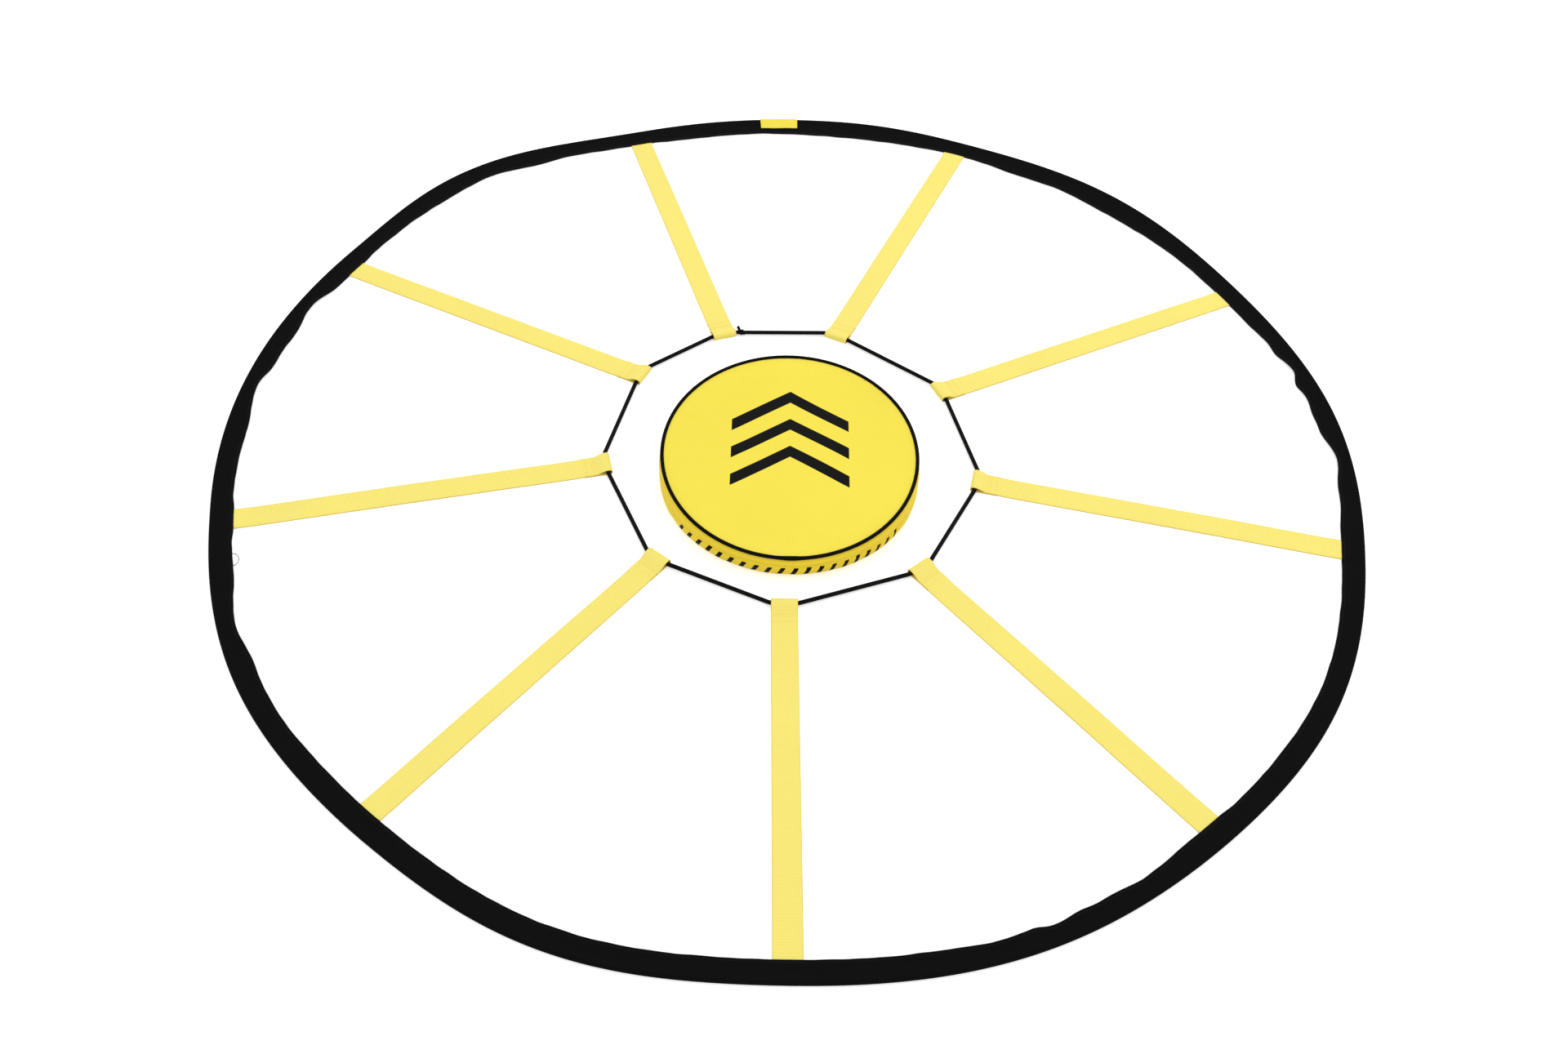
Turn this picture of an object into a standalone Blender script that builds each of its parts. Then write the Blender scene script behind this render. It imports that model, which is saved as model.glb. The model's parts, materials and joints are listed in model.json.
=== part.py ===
"""Circular agility ladder: a spring-wire hoop in a fabric sleeve, nine webbing spokes, an elastic
centre cord that runs through their loops, and the round zipped bag that the folded hoop goes into.

Metres, +Z up. The hoop lies on the floor, z = 0, and the middle of its outline is the origin.
Angles are in degrees round the hoop, anticlockwise from above, and 270 is the front spoke.
"""

import math

import bmesh
import bpy
from mathutils import Matrix, Vector

# Gap between pieces that touch on the real object
CLEARANCE = 0.0003

# Sizes of the whole: from the middle to the hem of the hoop's sleeve, and to the cord in the spokes' loops
HEM_RADIUS = 0.8320
CORD_RADIUS = 0.2850

# Each spoke as it lies: the angle of its seam and of its loop, and how much further out than those
# radii the hem and the cord are there
SPOKES = (
    (270.0, 268.5, -0.0020, 0.0040),
    (310.5, 311.0, -0.0020, 0.0020),
    (349.0, 351.2, -0.0020, 0.0),
    (388.5, 392.0, 0.0035, -0.0050),
    (429.0, 434.6, 0.0065, -0.0040),
    (469.5, 472.2, -0.0025, 0.0040),
    (511.0, 504.8, 0.0055, 0.0050),
    (551.0, 546.0, -0.0070, -0.0050),
    (590.5, 588.0, 0.0, -0.0005),
)
FULL_TURN = 360.0

# How far the hoop bows out between each spoke and the next, most where the wire's ends are joined
BAY_BOWS = (0.0065, 0.0060, 0.0075, 0.0080, 0.0020, 0.0310, 0.0020, 0.0060, 0.0130)
JOINT_BAY = 5

# Hoop wire and the ferrule that joins its ends
WIRE_DIAMETER = 0.0035
WIRE_END_GAP = 0.0006
FERRULE_WALL = 0.0008
FERRULE_LENGTH = 0.030

# Fabric sleeve of the hoop
SLEEVE_WALL = 0.0007
SLEEVE_WIDTH = 0.034
HEM_WIDTH = 0.004
POCKET_EASE = 0.0001
TAB_LENGTH = 0.010
NOSE_WRAP = 100.0

# Woven label folded over the hoop's outer edge
LABEL_ANGLE = 91.9
LABEL_LENGTH = 0.069
LABEL_REACH = 0.021
LABEL_THICKNESS = 0.0005
LABEL_FOLD_ANGLE = -50.0

# Webbing spokes
WEBBING_WIDTH = 0.0381
WEBBING_THICKNESS = 0.0014
EYE_RAMP = 0.018
SEWN_OVERLAP = 0.018

# Elastic centre cord
CORD_DIAMETER = 0.0064
CORD_PLAY = 0.0017
CORD_BEND_RADIUS = 0.014
CORD_STRAIGHT = 0.0018
KNOT_DIAMETER = 0.0090
KNOT_LENGTH = 0.0085
KNOT_SPOKE = 5
KNOT_SETBACK = 0.0085
KNOT_TAIL = 0.011
KNOT_TAIL_DIAMETER = 0.0051
KNOT_TAIL_LEAN = 38.0

# Carry bag, whose top slopes down to a slumped front
BAG_CENTRE_X = -0.0025
BAG_CENTRE_Y = -0.0474
BAG_FABRIC = 0.0012
TOP_SLOPE = 5.5
PIPING_RADIUS = 0.190
PIPING_DIAMETER = 0.005
PIPING_HEIGHT = 0.0582
GUSSET_BULGE = 0.0045
GUSSET_FOOT_DRAW = 0.0065
LID_HINGE_ANGLE = 25.0

# Zip of the bag, with its slider parked at the zip's end, past the lid
ZIP_DROP = 0.002
TAPE_HALF_HEIGHT = 0.0105
TAPE_THICKNESS = 0.0008
TEETH_HALF_HEIGHT = 0.0015
TEETH_DEPTH = 0.0015
SLIDER_LENGTH = 0.012
SLIDER_HEIGHT = 0.0084
SLIDER_PLATE = 0.0015
SLIDER_FLANGE = 0.0012
SLIDER_TO_LID = 0.0274
SLIDER_TO_ZIP_END = 0.008
SLOT_EASE = 0.001
LUG_HEIGHT = 0.0013
PIN_DIAMETER = 0.0014
PULL_LENGTH = 0.026
PULL_THICKNESS = 0.0014
PULL_RIM = 0.0006
PULL_PLAY = 0.0005
RIM_PLAY = 0.0001

# Facets, and the reach of a cutter past what it cuts
BAY_STEPS = 11
NOSE_STEPS = 7
LABEL_STEPS = 6
RAMP_STEPS = 6
EYE_STEPS = 8
LOOP_STEPS = 10
BEND_STEPS = 4
PIPING_STEPS = 7
SMALL_STEPS = 12
ROUND_STEPS = 72
CUTTER_REACH = 0.5

# Sizes that follow from the ones above
CHANNEL_RADIUS = WIRE_DIAMETER / 2 + FERRULE_WALL + 2 * CLEARANCE
NOSE_RADIUS = CHANNEL_RADIUS + SLEEVE_WALL
POCKET_HEIGHT = WEBBING_THICKNESS + 2 * CLEARANCE
HEM_HEIGHT = POCKET_HEIGHT + 2 * SLEEVE_WALL
SEAM_HEIGHT = HEM_HEIGHT / 2
HEM_REACH = SLEEVE_WIDTH - NOSE_RADIUS
CORD_HEIGHT = WEBBING_THICKNESS + CLEARANCE + CORD_DIAMETER / 2
EYE_RADIUS = CORD_DIAMETER / 2 + CLEARANCE
KNOT_HEIGHT = max(CORD_HEIGHT, KNOT_DIAMETER / 2 + CLEARANCE)
GUSSET_RADIUS = PIPING_RADIUS + GUSSET_BULGE
GUSSET_INNER = GUSSET_RADIUS - BAG_FABRIC
GUSSET_TOP = PIPING_HEIGHT - PIPING_DIAMETER / 2 - CLEARANCE
BASE_RADIUS = PIPING_RADIUS - GUSSET_FOOT_DRAW
GUSSET_FOOT = BAG_FABRIC + CLEARANCE
PANEL_RADIUS = PIPING_RADIUS - PIPING_DIAMETER / 2 - CLEARANCE
PANEL_TOP = PIPING_HEIGHT + BAG_FABRIC / 2
HINGE_Y = GUSSET_RADIUS * math.sin(math.radians(LID_HINGE_ANGLE))
SLOPE = math.radians(TOP_SLOPE)
HINGE_Z = PIPING_HEIGHT + HINGE_Y * math.tan(SLOPE) + PIPING_DIAMETER / 2 / math.cos(SLOPE)
TOP_TILT = (
    Matrix.Translation((0.0, 0.0, PIPING_HEIGHT))
    @ Matrix.Rotation(SLOPE, 4, "X")
    @ Matrix.Translation((0.0, 0.0, -PIPING_HEIGHT))
)
WALL_RADIUS = PIPING_RADIUS + BAG_FABRIC / 2
WALL_LOWEST_TOP = (TOP_TILT @ Vector((0.0, -WALL_RADIUS, GUSSET_TOP))).z
ZIP_TOP = WALL_LOWEST_TOP - ZIP_DROP
ZIP_HEIGHT = ZIP_TOP - TAPE_HALF_HEIGHT
ZIP_BOTTOM = ZIP_HEIGHT - TAPE_HALF_HEIGHT
ZIP_FACE = GUSSET_INNER - CLEARANCE
ZIP_CROWN = ZIP_FACE + TEETH_DEPTH
ZIP_SLOT = TEETH_HALF_HEIGHT + CLEARANCE + SLIDER_FLANGE + SLOT_EASE
SLIDER_ANGLE = LID_HINGE_ANGLE - math.degrees((SLIDER_LENGTH / 2 + SLIDER_TO_LID) / GUSSET_RADIUS)
ZIP_END_ANGLE = SLIDER_ANGLE - math.degrees((SLIDER_LENGTH / 2 + SLIDER_TO_ZIP_END) / GUSSET_RADIUS)
ZIP_END_Y = GUSSET_RADIUS * math.sin(math.radians(ZIP_END_ANGLE))
SLIDER_FACE = max(ZIP_CROWN, GUSSET_RADIUS) + CLEARANCE
PULL_EYE = PIN_DIAMETER / 2 + CLEARANCE
LUG_REACH = 2 * (PULL_EYE + PULL_RIM + RIM_PLAY)
PULL_AXIS_REACH = SLIDER_FACE + SLIDER_PLATE + LUG_REACH / 2
PULL_HEIGHT = SLIDER_HEIGHT - 2 * LUG_HEIGHT - 2 * PULL_PLAY


def clear_scene():
    """Remove the objects that the scene starts with."""
    for obj in list(bpy.data.objects):
        bpy.data.objects.remove(obj, do_unlink=True)


def new_collection(name):
    """Make a collection in the scene."""
    collection = bpy.data.collections.new(name)
    bpy.context.scene.collection.children.link(collection)
    return collection


def new_material(name, colour, roughness, metallic=0.0):
    """Make a Principled material with one colour."""
    material = bpy.data.materials.new(name)
    material.use_nodes = True
    shader = material.node_tree.nodes["Principled BSDF"]
    shader.inputs["Base Color"].default_value = (*colour, 1.0)
    shader.inputs["Roughness"].default_value = roughness
    shader.inputs["Metallic"].default_value = metallic
    material.diffuse_color = (*colour, 1.0)
    return material


def add_object(name, data, collection, material=None, parent=None):
    """Make an object of the given data, with its material and parent."""
    obj = bpy.data.objects.new(name, data)
    collection.objects.link(obj)
    obj.parent = parent
    if material:
        data.materials.append(material)
    return obj


def add_empty(name, location, parent, turn=0.0):
    """Make an empty on a joint's axis, turned about Z by an angle in degrees."""
    empty = add_object(name, None, PIECES, parent=parent)
    empty.location = location
    empty.rotation_euler.z = math.radians(turn)
    return empty


def add_helper(name, data, parent=None):
    """Make a cutter or a guide, which is not part of the ladder."""
    obj = add_object(name, data, CUTTERS, parent=parent)
    obj.hide_render = True
    obj.display_type = "WIRE"
    return obj


def polar(radius, angle, height=0.0):
    """A point at a radius and an angle in degrees."""
    turn = math.radians(angle)
    return Vector((radius * math.cos(turn), radius * math.sin(turn), height))


def arc(centre, radius, start, end, steps):
    """Points of an arc in a flat outline, both ends included, angles in degrees."""
    points = []
    for i in range(steps + 1):
        turn = math.radians(start + (end - start) * i / steps)
        points.append((centre[0] + radius * math.cos(turn), centre[1] + radius * math.sin(turn)))
    return points


def add_spline(curve, points, closed):
    """Add a spline of straight steps through the points to a curve."""
    spline = curve.splines.new("POLY")
    spline.points.add(len(points) - 1)
    for knot, point in zip(spline.points, points):
        knot.co = (*point, 0.0, 1.0) if len(point) == 2 else (*point, 1.0)
    spline.use_cyclic_u = closed


def new_curve(name, points, closed, dimensions="3D"):
    """Make a curve of straight steps through the points."""
    curve = bpy.data.curves.new(name, "CURVE")
    curve.dimensions = dimensions
    curve.twist_mode = "Z_UP"
    curve.use_fill_caps = not closed
    add_spline(curve, points, closed)
    return curve


def tube_curve(name, points, diameter, closed=False):
    """Make the curve of a round tube."""
    curve = new_curve(name, points, closed)
    curve.bevel_depth = diameter / 2
    curve.bevel_resolution = 2
    return curve


def swept_curve(name, path, section, closed):
    """Make a curve that carries a closed section, given as outward and upward offsets, along a path."""
    profile = new_curve(f"{name}_section", section, True, "2D")
    curve = new_curve(name, path, closed)
    curve.bevel_mode = "OBJECT"
    curve.bevel_object = add_helper(f"{name}_section", profile)
    return curve


def plate_curve(name, outlines, thickness):
    """Make a flat plate from an outline and the outlines of its holes."""
    curve = new_curve(name, outlines[0], True, "2D")
    for hole in outlines[1:]:
        add_spline(curve, hole, True)
    curve.fill_mode = "BOTH"
    curve.extrude = thickness / 2
    return curve


def as_mesh(obj):
    """Turn a curve object into a mesh object with its caps welded."""
    bpy.context.view_layer.update()
    graph = bpy.context.evaluated_depsgraph_get()
    mesh = bpy.data.meshes.new_from_object(obj.evaluated_get(graph))
    work = bmesh.new()
    work.from_mesh(mesh)
    bmesh.ops.remove_doubles(work, verts=work.verts, dist=1e-6)
    bmesh.ops.recalc_face_normals(work, faces=work.faces)
    work.to_mesh(mesh)
    work.free()
    name = obj.name
    solid = bpy.data.objects.new(f"{name}_solid", mesh)
    for collection in obj.users_collection:
        collection.objects.link(solid)
    solid.parent = obj.parent
    solid.matrix_world = obj.matrix_world
    solid.hide_render = obj.hide_render
    solid.display_type = obj.display_type
    bpy.data.objects.remove(obj, do_unlink=True)
    solid.name = name
    return solid


def box_mesh(name, low, high):
    """Make the mesh of a box between two corners."""
    mesh = bpy.data.meshes.new(name)
    work = bmesh.new()
    size = Vector(high) - Vector(low)
    centre = (Vector(high) + Vector(low)) / 2
    bmesh.ops.create_cube(work, size=1.0, matrix=Matrix.Translation(centre) @ Matrix.Diagonal((*size, 1.0)))
    work.to_mesh(mesh)
    work.free()
    return mesh


def cylinder_mesh(name, radius, low, high, steps):
    """Make the mesh of an upright cylinder round the origin."""
    mesh = bpy.data.meshes.new(name)
    work = bmesh.new()
    bmesh.ops.create_cone(
        work,
        cap_ends=True,
        segments=steps,
        radius1=radius,
        radius2=radius,
        depth=high - low,
        matrix=Matrix.Translation((0.0, 0.0, (low + high) / 2)),
    )
    work.to_mesh(mesh)
    work.free()
    return mesh


def turned_mesh(name, section):
    """Make the closed line of a ring's section, outer side first from top to bottom."""
    mesh = bpy.data.meshes.new(name)
    work = bmesh.new()
    corners = [work.verts.new((radius, 0.0, height)) for radius, height in section]
    for i, corner in enumerate(corners):
        work.edges.new((corner, corners[(i + 1) % len(corners)]))
    work.to_mesh(mesh)
    work.free()
    return mesh


def add_turned(name, section, material, parent):
    """Make a ring: a section turned about the parent's Z axis."""
    ring = add_object(name, turned_mesh(name, section), PIECES, material, parent)
    screw = ring.modifiers.new("Turn", "SCREW")
    screw.steps = ROUND_STEPS
    screw.render_steps = ROUND_STEPS
    screw.use_merge_vertices = True
    screw.merge_threshold = 1e-5
    screw.use_smooth_shade = True
    return ring


def combine(obj, other, operation="DIFFERENCE"):
    """Cut one mesh object with another, keep what they share, or join them."""
    boolean = obj.modifiers.new(f"{operation.title()} {other.name}", "BOOLEAN")
    boolean.operation = operation
    boolean.object = other
    boolean.solver = "EXACT"


def wire_points():
    """The wire's centre line round the hoop, one point a step, from the first spoke."""
    points = []
    for spoke, following, bow in zip(SPOKES, SPOKES[1:] + SPOKES[:1], BAY_BOWS):
        turn = (following[0] - spoke[0]) % FULL_TURN
        for i in range(BAY_STEPS):
            share = i / BAY_STEPS
            further = spoke[2] + (following[2] - spoke[2]) * share + bow * math.sin(math.pi * share) ** 2
            radius = HEM_RADIUS + further + HEM_REACH
            points.append(polar(radius, spoke[0] + turn * share, NOSE_RADIUS))
    return points


def joint_step():
    """The two points of the straight step of wire that the ferrule sits on."""
    points = wire_points()
    first = JOINT_BAY * BAY_STEPS + BAY_STEPS // 2
    return points[first], points[first + 1]


def hoop_middle():
    """The middle of the wire's outline."""
    points = wire_points()
    xs = [point.x for point in points]
    ys = [point.y for point in points]
    return Vector(((min(xs) + max(xs)) / 2, (min(ys) + max(ys)) / 2, 0.0))


def seam_point(index):
    """Where a spoke leaves the sleeve: the middle of its hinge line."""
    angle, _, further, _ = SPOKES[index]
    return polar(HEM_RADIUS + further, angle, SEAM_HEIGHT)


def cord_point(index):
    """The middle of the cord inside a spoke's loop."""
    _, angle, _, further = SPOKES[index]
    return polar(CORD_RADIUS + further, angle, CORD_HEIGHT)


def spoke_line(index):
    """A spoke's level direction from hoop to cord, its length to the cord, and its hinge axis."""
    run = cord_point(index) - seam_point(index)
    run.z = 0.0
    inward = run.normalized()
    return inward, run.length, inward.cross(Vector((0.0, 0.0, 1.0)))


def spoke_frame(index):
    """The turn that carries a side view, drawn in X and Y, onto a spoke."""
    inward, _, across = spoke_line(index)
    up = Vector((0.0, 0.0, 1.0))
    return Matrix((inward, up, across)).transposed().to_4x4()


def sleeve_outline():
    """The sleeve's outer section, as offsets outward and upward from the wire's centre."""
    low = -NOSE_RADIUS
    hem = -HEM_REACH
    nose = arc((0.0, 0.0), NOSE_RADIUS, -90.0, NOSE_WRAP, NOSE_STEPS)
    shoulder = hem + HEM_WIDTH
    return [(hem, low)] + nose + [(shoulder, low + HEM_HEIGHT), (hem, low + HEM_HEIGHT)]


def channel_outline():
    """The section of the hollow inside the sleeve, which holds the wire and the spokes' ends."""
    low = -NOSE_RADIUS + SLEEVE_WALL
    seam = -HEM_REACH + HEM_WIDTH
    nose = arc((0.0, 0.0), CHANNEL_RADIUS, -90.0, NOSE_WRAP, NOSE_STEPS)
    return [(seam, low)] + nose + [(seam, low + POCKET_HEIGHT)]


def build_wire():
    """The spring wire, open by a hair inside the ferrule."""
    points = wire_points()
    first = JOINT_BAY * BAY_STEPS + BAY_STEPS // 2
    start, end = joint_step()
    middle = (start + end) / 2
    half_gap = (end - start).normalized() * WIRE_END_GAP / 2
    route = [middle + half_gap] + points[first + 1 :] + points[: first + 1] + [middle - half_gap]
    add_object("hoop_wire", tube_curve("hoop_wire", route, WIRE_DIAMETER), PIECES, SPRING_STEEL, HOOP)


def build_ferrule():
    """The crimped tube over the two ends of the wire."""
    start, end = joint_step()
    bore = WIRE_DIAMETER / 2 + CLEARANCE
    last = FULL_TURN - FULL_TURN / SMALL_STEPS
    rings = [arc((0.0, 0.0), radius, 0.0, last, SMALL_STEPS - 1) for radius in (bore + FERRULE_WALL, bore)]
    tube = plate_curve("wire_ferrule", rings, FERRULE_LENGTH)
    ferrule = add_object("wire_ferrule", tube, PIECES, PLATED_STEEL, HOOP)
    ferrule.location = (start + end) / 2
    ferrule.rotation_euler = (end - start).to_track_quat("Z", "Y").to_euler()


def build_sleeve():
    """The fabric sleeve, sewn shut along its inner edge except where a spoke's end goes in."""
    path = wire_points()
    curve = swept_curve("hoop_sleeve", path, sleeve_outline(), True)
    sleeve = as_mesh(add_object("hoop_sleeve", curve, PIECES, BLACK_FABRIC, HOOP))
    hollow_curve = swept_curve("channel_cutter", path, channel_outline(), True)
    combine(sleeve, as_mesh(add_helper("channel_cutter", hollow_curve, HOOP)))
    half_width = WEBBING_WIDTH / 2 + CLEARANCE
    half_height = POCKET_HEIGHT / 2 + POCKET_EASE
    for index in range(len(SPOKES)):
        name = f"pocket_cutter_{index + 1}"
        low = (-HEM_WIDTH - TAB_LENGTH / 2, -half_height, -half_width)
        high = (HEM_WIDTH, half_height, half_width)
        cutter = add_helper(name, box_mesh(name, low, high), HOOP)
        cutter.matrix_local = Matrix.Translation(seam_point(index)) @ spoke_frame(index)
        combine(sleeve, cutter)


def build_label():
    """The woven label: a short strip bent round the outside of the sleeve's nose."""
    inner = NOSE_RADIUS + CLEARANCE
    outer = inner + LABEL_THICKNESS
    slope = math.atan2(2 * NOSE_RADIUS - HEM_HEIGHT, HEM_REACH - HEM_WIDTH)
    lean = 90.0 + math.degrees(slope)
    run = Vector((-math.cos(slope), -math.sin(slope))) * LABEL_REACH
    top = arc((0.0, 0.0), outer, LABEL_FOLD_ANGLE, lean, LABEL_STEPS)
    under = arc((0.0, 0.0), inner, lean, LABEL_FOLD_ANGLE, LABEL_STEPS)
    ends = [Vector(top[-1]) + run, Vector(under[0]) + run]
    section = top + [tuple(end) for end in ends] + under
    points = wire_points()
    middle = hoop_angle_index(LABEL_ANGLE, points)
    step = (points[int(middle) + 1] - points[int(middle)]).length
    path = path_between(points, middle, LABEL_LENGTH / 2 / step)
    label = swept_curve("hoop_label", path, section, False)
    as_mesh(add_object("hoop_label", label, PIECES, YELLOW_LABEL, HOOP))


def hoop_angle_index(angle, points):
    """The place along the wire's points, as a whole step and a share of one, that lies at an angle."""
    for i, point in enumerate(points):
        following = points[(i + 1) % len(points)]
        here = math.degrees(math.atan2(point.y, point.x)) % FULL_TURN
        there = math.degrees(math.atan2(following.y, following.x)) % FULL_TURN
        if here <= angle < there:
            return i + (angle - here) / (there - here)
    return 0.0


def path_between(points, middle, half_steps):
    """The stretch of the wire's points that reaches a number of steps each way from a place."""
    start = middle - half_steps
    end = middle + half_steps

    def place(position):
        whole = math.floor(position)
        return points[whole % len(points)].lerp(points[(whole + 1) % len(points)], position - whole)

    inner = range(math.floor(start) + 1, math.ceil(end))
    return [place(start)] + [points[i % len(points)] for i in inner] + [place(end)]


def spoke_outlines(length):
    """The side view of a spoke, from its hinge to its loop, and of the eye that the cord runs through."""
    base = -SEAM_HEIGHT
    thick = WEBBING_THICKNESS
    start = CLEARANCE / 2
    eye_height = CORD_HEIGHT + base
    fold = length + CORD_PLAY
    ramp_start = length - EYE_RAMP
    tail_end = ramp_start - SEWN_OVERLAP
    rise = 2 * EYE_RADIUS
    ramp = []
    for i in range(RAMP_STEPS + 1):
        share = i / RAMP_STEPS
        ramp.append((ramp_start + EYE_RAMP * share, base + thick + rise * math.sin(math.pi / 2 * share)))
    strap_top = [(start, thick / 2), (tail_end, base + 2 * thick)]
    over = [(x, y + thick) for x, y in ramp]
    round_end = arc((fold, eye_height), EYE_RADIUS + thick, 90.0, -90.0, LOOP_STEPS)
    tail = [(tail_end, base), (tail_end, base + thick - CLEARANCE / 2), (start, -thick / 2)]
    eye_end = arc((fold, eye_height), EYE_RADIUS, 90.0, -90.0, EYE_STEPS)
    return strap_top + over + round_end + tail, ramp + eye_end


def build_spoke(index):
    """A strap with its loop, on its hinge line, and its sewn-in end between the sleeve's layers."""
    number = index + 1
    _, length, _ = spoke_line(index)
    place = Matrix.Translation(seam_point(index)) @ spoke_frame(index)
    hinge = add_empty(f"spoke_hinge_{number}", seam_point(index), HOOP)
    curve = plate_curve(f"spoke_strap_{number}", spoke_outlines(length), WEBBING_WIDTH)
    strap = add_object(f"spoke_strap_{number}", curve, PIECES, YELLOW_WEBBING, hinge)
    strap.matrix_local = spoke_frame(index)
    half = WEBBING_WIDTH / 2
    low = (-CLEARANCE / 2 - TAB_LENGTH, -WEBBING_THICKNESS / 2, -half)
    high = (-CLEARANCE / 2, WEBBING_THICKNESS / 2, half)
    name = f"spoke_seam_end_{number}"
    tab = add_object(name, box_mesh(name, low, high), PIECES, YELLOW_WEBBING, HOOP)
    tab.matrix_local = place


def rounded(points, radius):
    """A route with each inner corner replaced by an arc of a radius."""
    route = [points[0]]
    for before, corner, after in zip(points, points[1:], points[2:]):
        back = (before - corner).normalized()
        ahead = (after - corner).normalized()
        half = back.angle(ahead) / 2
        reach = radius / math.tan(half)
        middle = corner + (back + ahead).normalized() * (radius / math.sin(half))
        start = (corner + back * reach - middle).normalized()
        end = (corner + ahead * reach - middle).normalized()
        for i in range(BEND_STEPS + 1):
            route.append(middle + start.slerp(end, i / BEND_STEPS) * radius)
    return route + [points[-1]]


def cord_route():
    """The centre cord from the far face of the knot all round to its near face."""
    half = WEBBING_WIDTH / 2 + CORD_STRAIGHT
    corners = []
    count = len(SPOKES)
    for i in range(count):
        index = (KNOT_SPOKE + i) % count
        across = spoke_line(index)[2]
        corners += [cord_point(index) - across * half, cord_point(index) + across * half]
    back = (corners[0] - corners[-1]).normalized()
    start = corners[0] - back * (KNOT_SETBACK - KNOT_LENGTH / 2 - CLEARANCE)
    end = corners[0] - back * (KNOT_SETBACK + KNOT_LENGTH / 2 + CLEARANCE)
    return rounded([start] + corners + [end], CORD_BEND_RADIUS), corners[0] - back * KNOT_SETBACK, back


def build_cord():
    """The elastic cord through the nine loops, and the knot that joins its ends."""
    route, knot_place, along = cord_route()
    knot_place.z = KNOT_HEIGHT
    add_object("centre_cord", tube_curve("centre_cord", route, CORD_DIAMETER), PIECES, BLACK_CORD, CENTRE)
    half = along * KNOT_LENGTH / 2
    knot_curve = tube_curve("cord_knot", [knot_place - half, knot_place + half], KNOT_DIAMETER)
    knot = as_mesh(add_object("cord_knot", knot_curve, PIECES, BLACK_CORD, CENTRE))
    lean = math.radians(KNOT_TAIL_LEAN)
    outward = Vector((knot_place.x, knot_place.y, 0.0)).normalized()
    rise = outward * math.cos(lean) + Vector((0.0, 0.0, math.sin(lean)))
    tail_curve = tube_curve("knot_tail", [knot_place, knot_place + rise * KNOT_TAIL], KNOT_TAIL_DIAMETER)
    combine(knot, as_mesh(add_helper("knot_tail", tail_curve, CENTRE)), "UNION")


def gusset_section():
    """The gusset's section, outer side first from top to bottom."""
    outer = [
        (WALL_RADIUS, GUSSET_TOP),
        (GUSSET_RADIUS, ZIP_TOP + CLEARANCE),
        (GUSSET_RADIUS, ZIP_BOTTOM - CLEARANCE),
        (BASE_RADIUS, GUSSET_FOOT),
    ]
    return outer + [(radius - BAG_FABRIC, height) for radius, height in reversed(outer)]


def build_gusset(name, parent):
    """The bag's whole side wall, with its top edge tilted to meet the sloping piping."""
    gusset = as_mesh(add_turned(name, gusset_section(), YELLOW_BAG, parent))
    for vertex in gusset.data.vertices:
        if vertex.co.z > GUSSET_TOP - CLEARANCE:
            vertex.co = TOP_TILT @ vertex.co
    return gusset


def zip_section():
    """The section of the whole closed zip: tape inside the gusset, teeth in its slot."""
    back = ZIP_FACE - TAPE_THICKNESS
    top = ZIP_HEIGHT + TEETH_HALF_HEIGHT
    bottom = ZIP_HEIGHT - TEETH_HALF_HEIGHT
    teeth = [(ZIP_FACE, top), (ZIP_CROWN, top), (ZIP_CROWN, bottom), (ZIP_FACE, bottom)]
    return [(ZIP_FACE, ZIP_TOP)] + teeth + [(ZIP_FACE, ZIP_BOTTOM), (back, ZIP_BOTTOM), (back, ZIP_TOP)]


def behind(name, y, low, high, front=False):
    """A cutter that takes everything behind, or in front of, a plane across the bag."""
    near, far = (-CUTTER_REACH, y) if front else (y, CUTTER_REACH)
    return add_helper(name, box_mesh(name, (-CUTTER_REACH, near, low), (CUTTER_REACH, far, high)), BAG)


def build_bag():
    """The bag's fixed pieces: base, gusset, the front of the top panel and of its piping, lower zip tape."""
    floor = -CUTTER_REACH
    sky = CUTTER_REACH
    gap = CLEARANCE / 2
    lid_back = behind("lid_cutter", HINGE_Y - gap, ZIP_HEIGHT - ZIP_SLOT, sky)
    slot = behind("zip_slot_cutter", ZIP_END_Y - CLEARANCE, ZIP_HEIGHT - ZIP_SLOT, ZIP_HEIGHT + ZIP_SLOT)
    top_back = behind("top_cutter", HINGE_Y - gap, floor, sky)
    row_back = behind("upper_row_cutter", HINGE_Y - gap, ZIP_HEIGHT - gap, sky)
    zip_front = behind("zip_front_cutter", ZIP_END_Y, floor, sky, front=True)

    base = cylinder_mesh("bag_base_panel", BASE_RADIUS, 0.0, BAG_FABRIC, ROUND_STEPS)
    add_object("bag_base_panel", base, PIECES, YELLOW_BAG, BAG)
    gusset = build_gusset("bag_gusset", BAG)
    combine(gusset, lid_back)
    combine(gusset, slot)
    panel = add_object("bag_top_panel", panel_mesh("bag_top_panel"), PIECES, YELLOW_BAG, BAG)
    piping = add_turned("bag_piping", piping_section(), BLACK_PIPING, BAG)
    for piece in (panel, piping):
        piece.matrix_local = TOP_TILT
        combine(piece, top_back)
    tape = add_turned("zip_tape_lower", zip_section(), ZIP_TAPE, BAG)
    combine(tape, zip_front)
    combine(tape, row_back)


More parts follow.
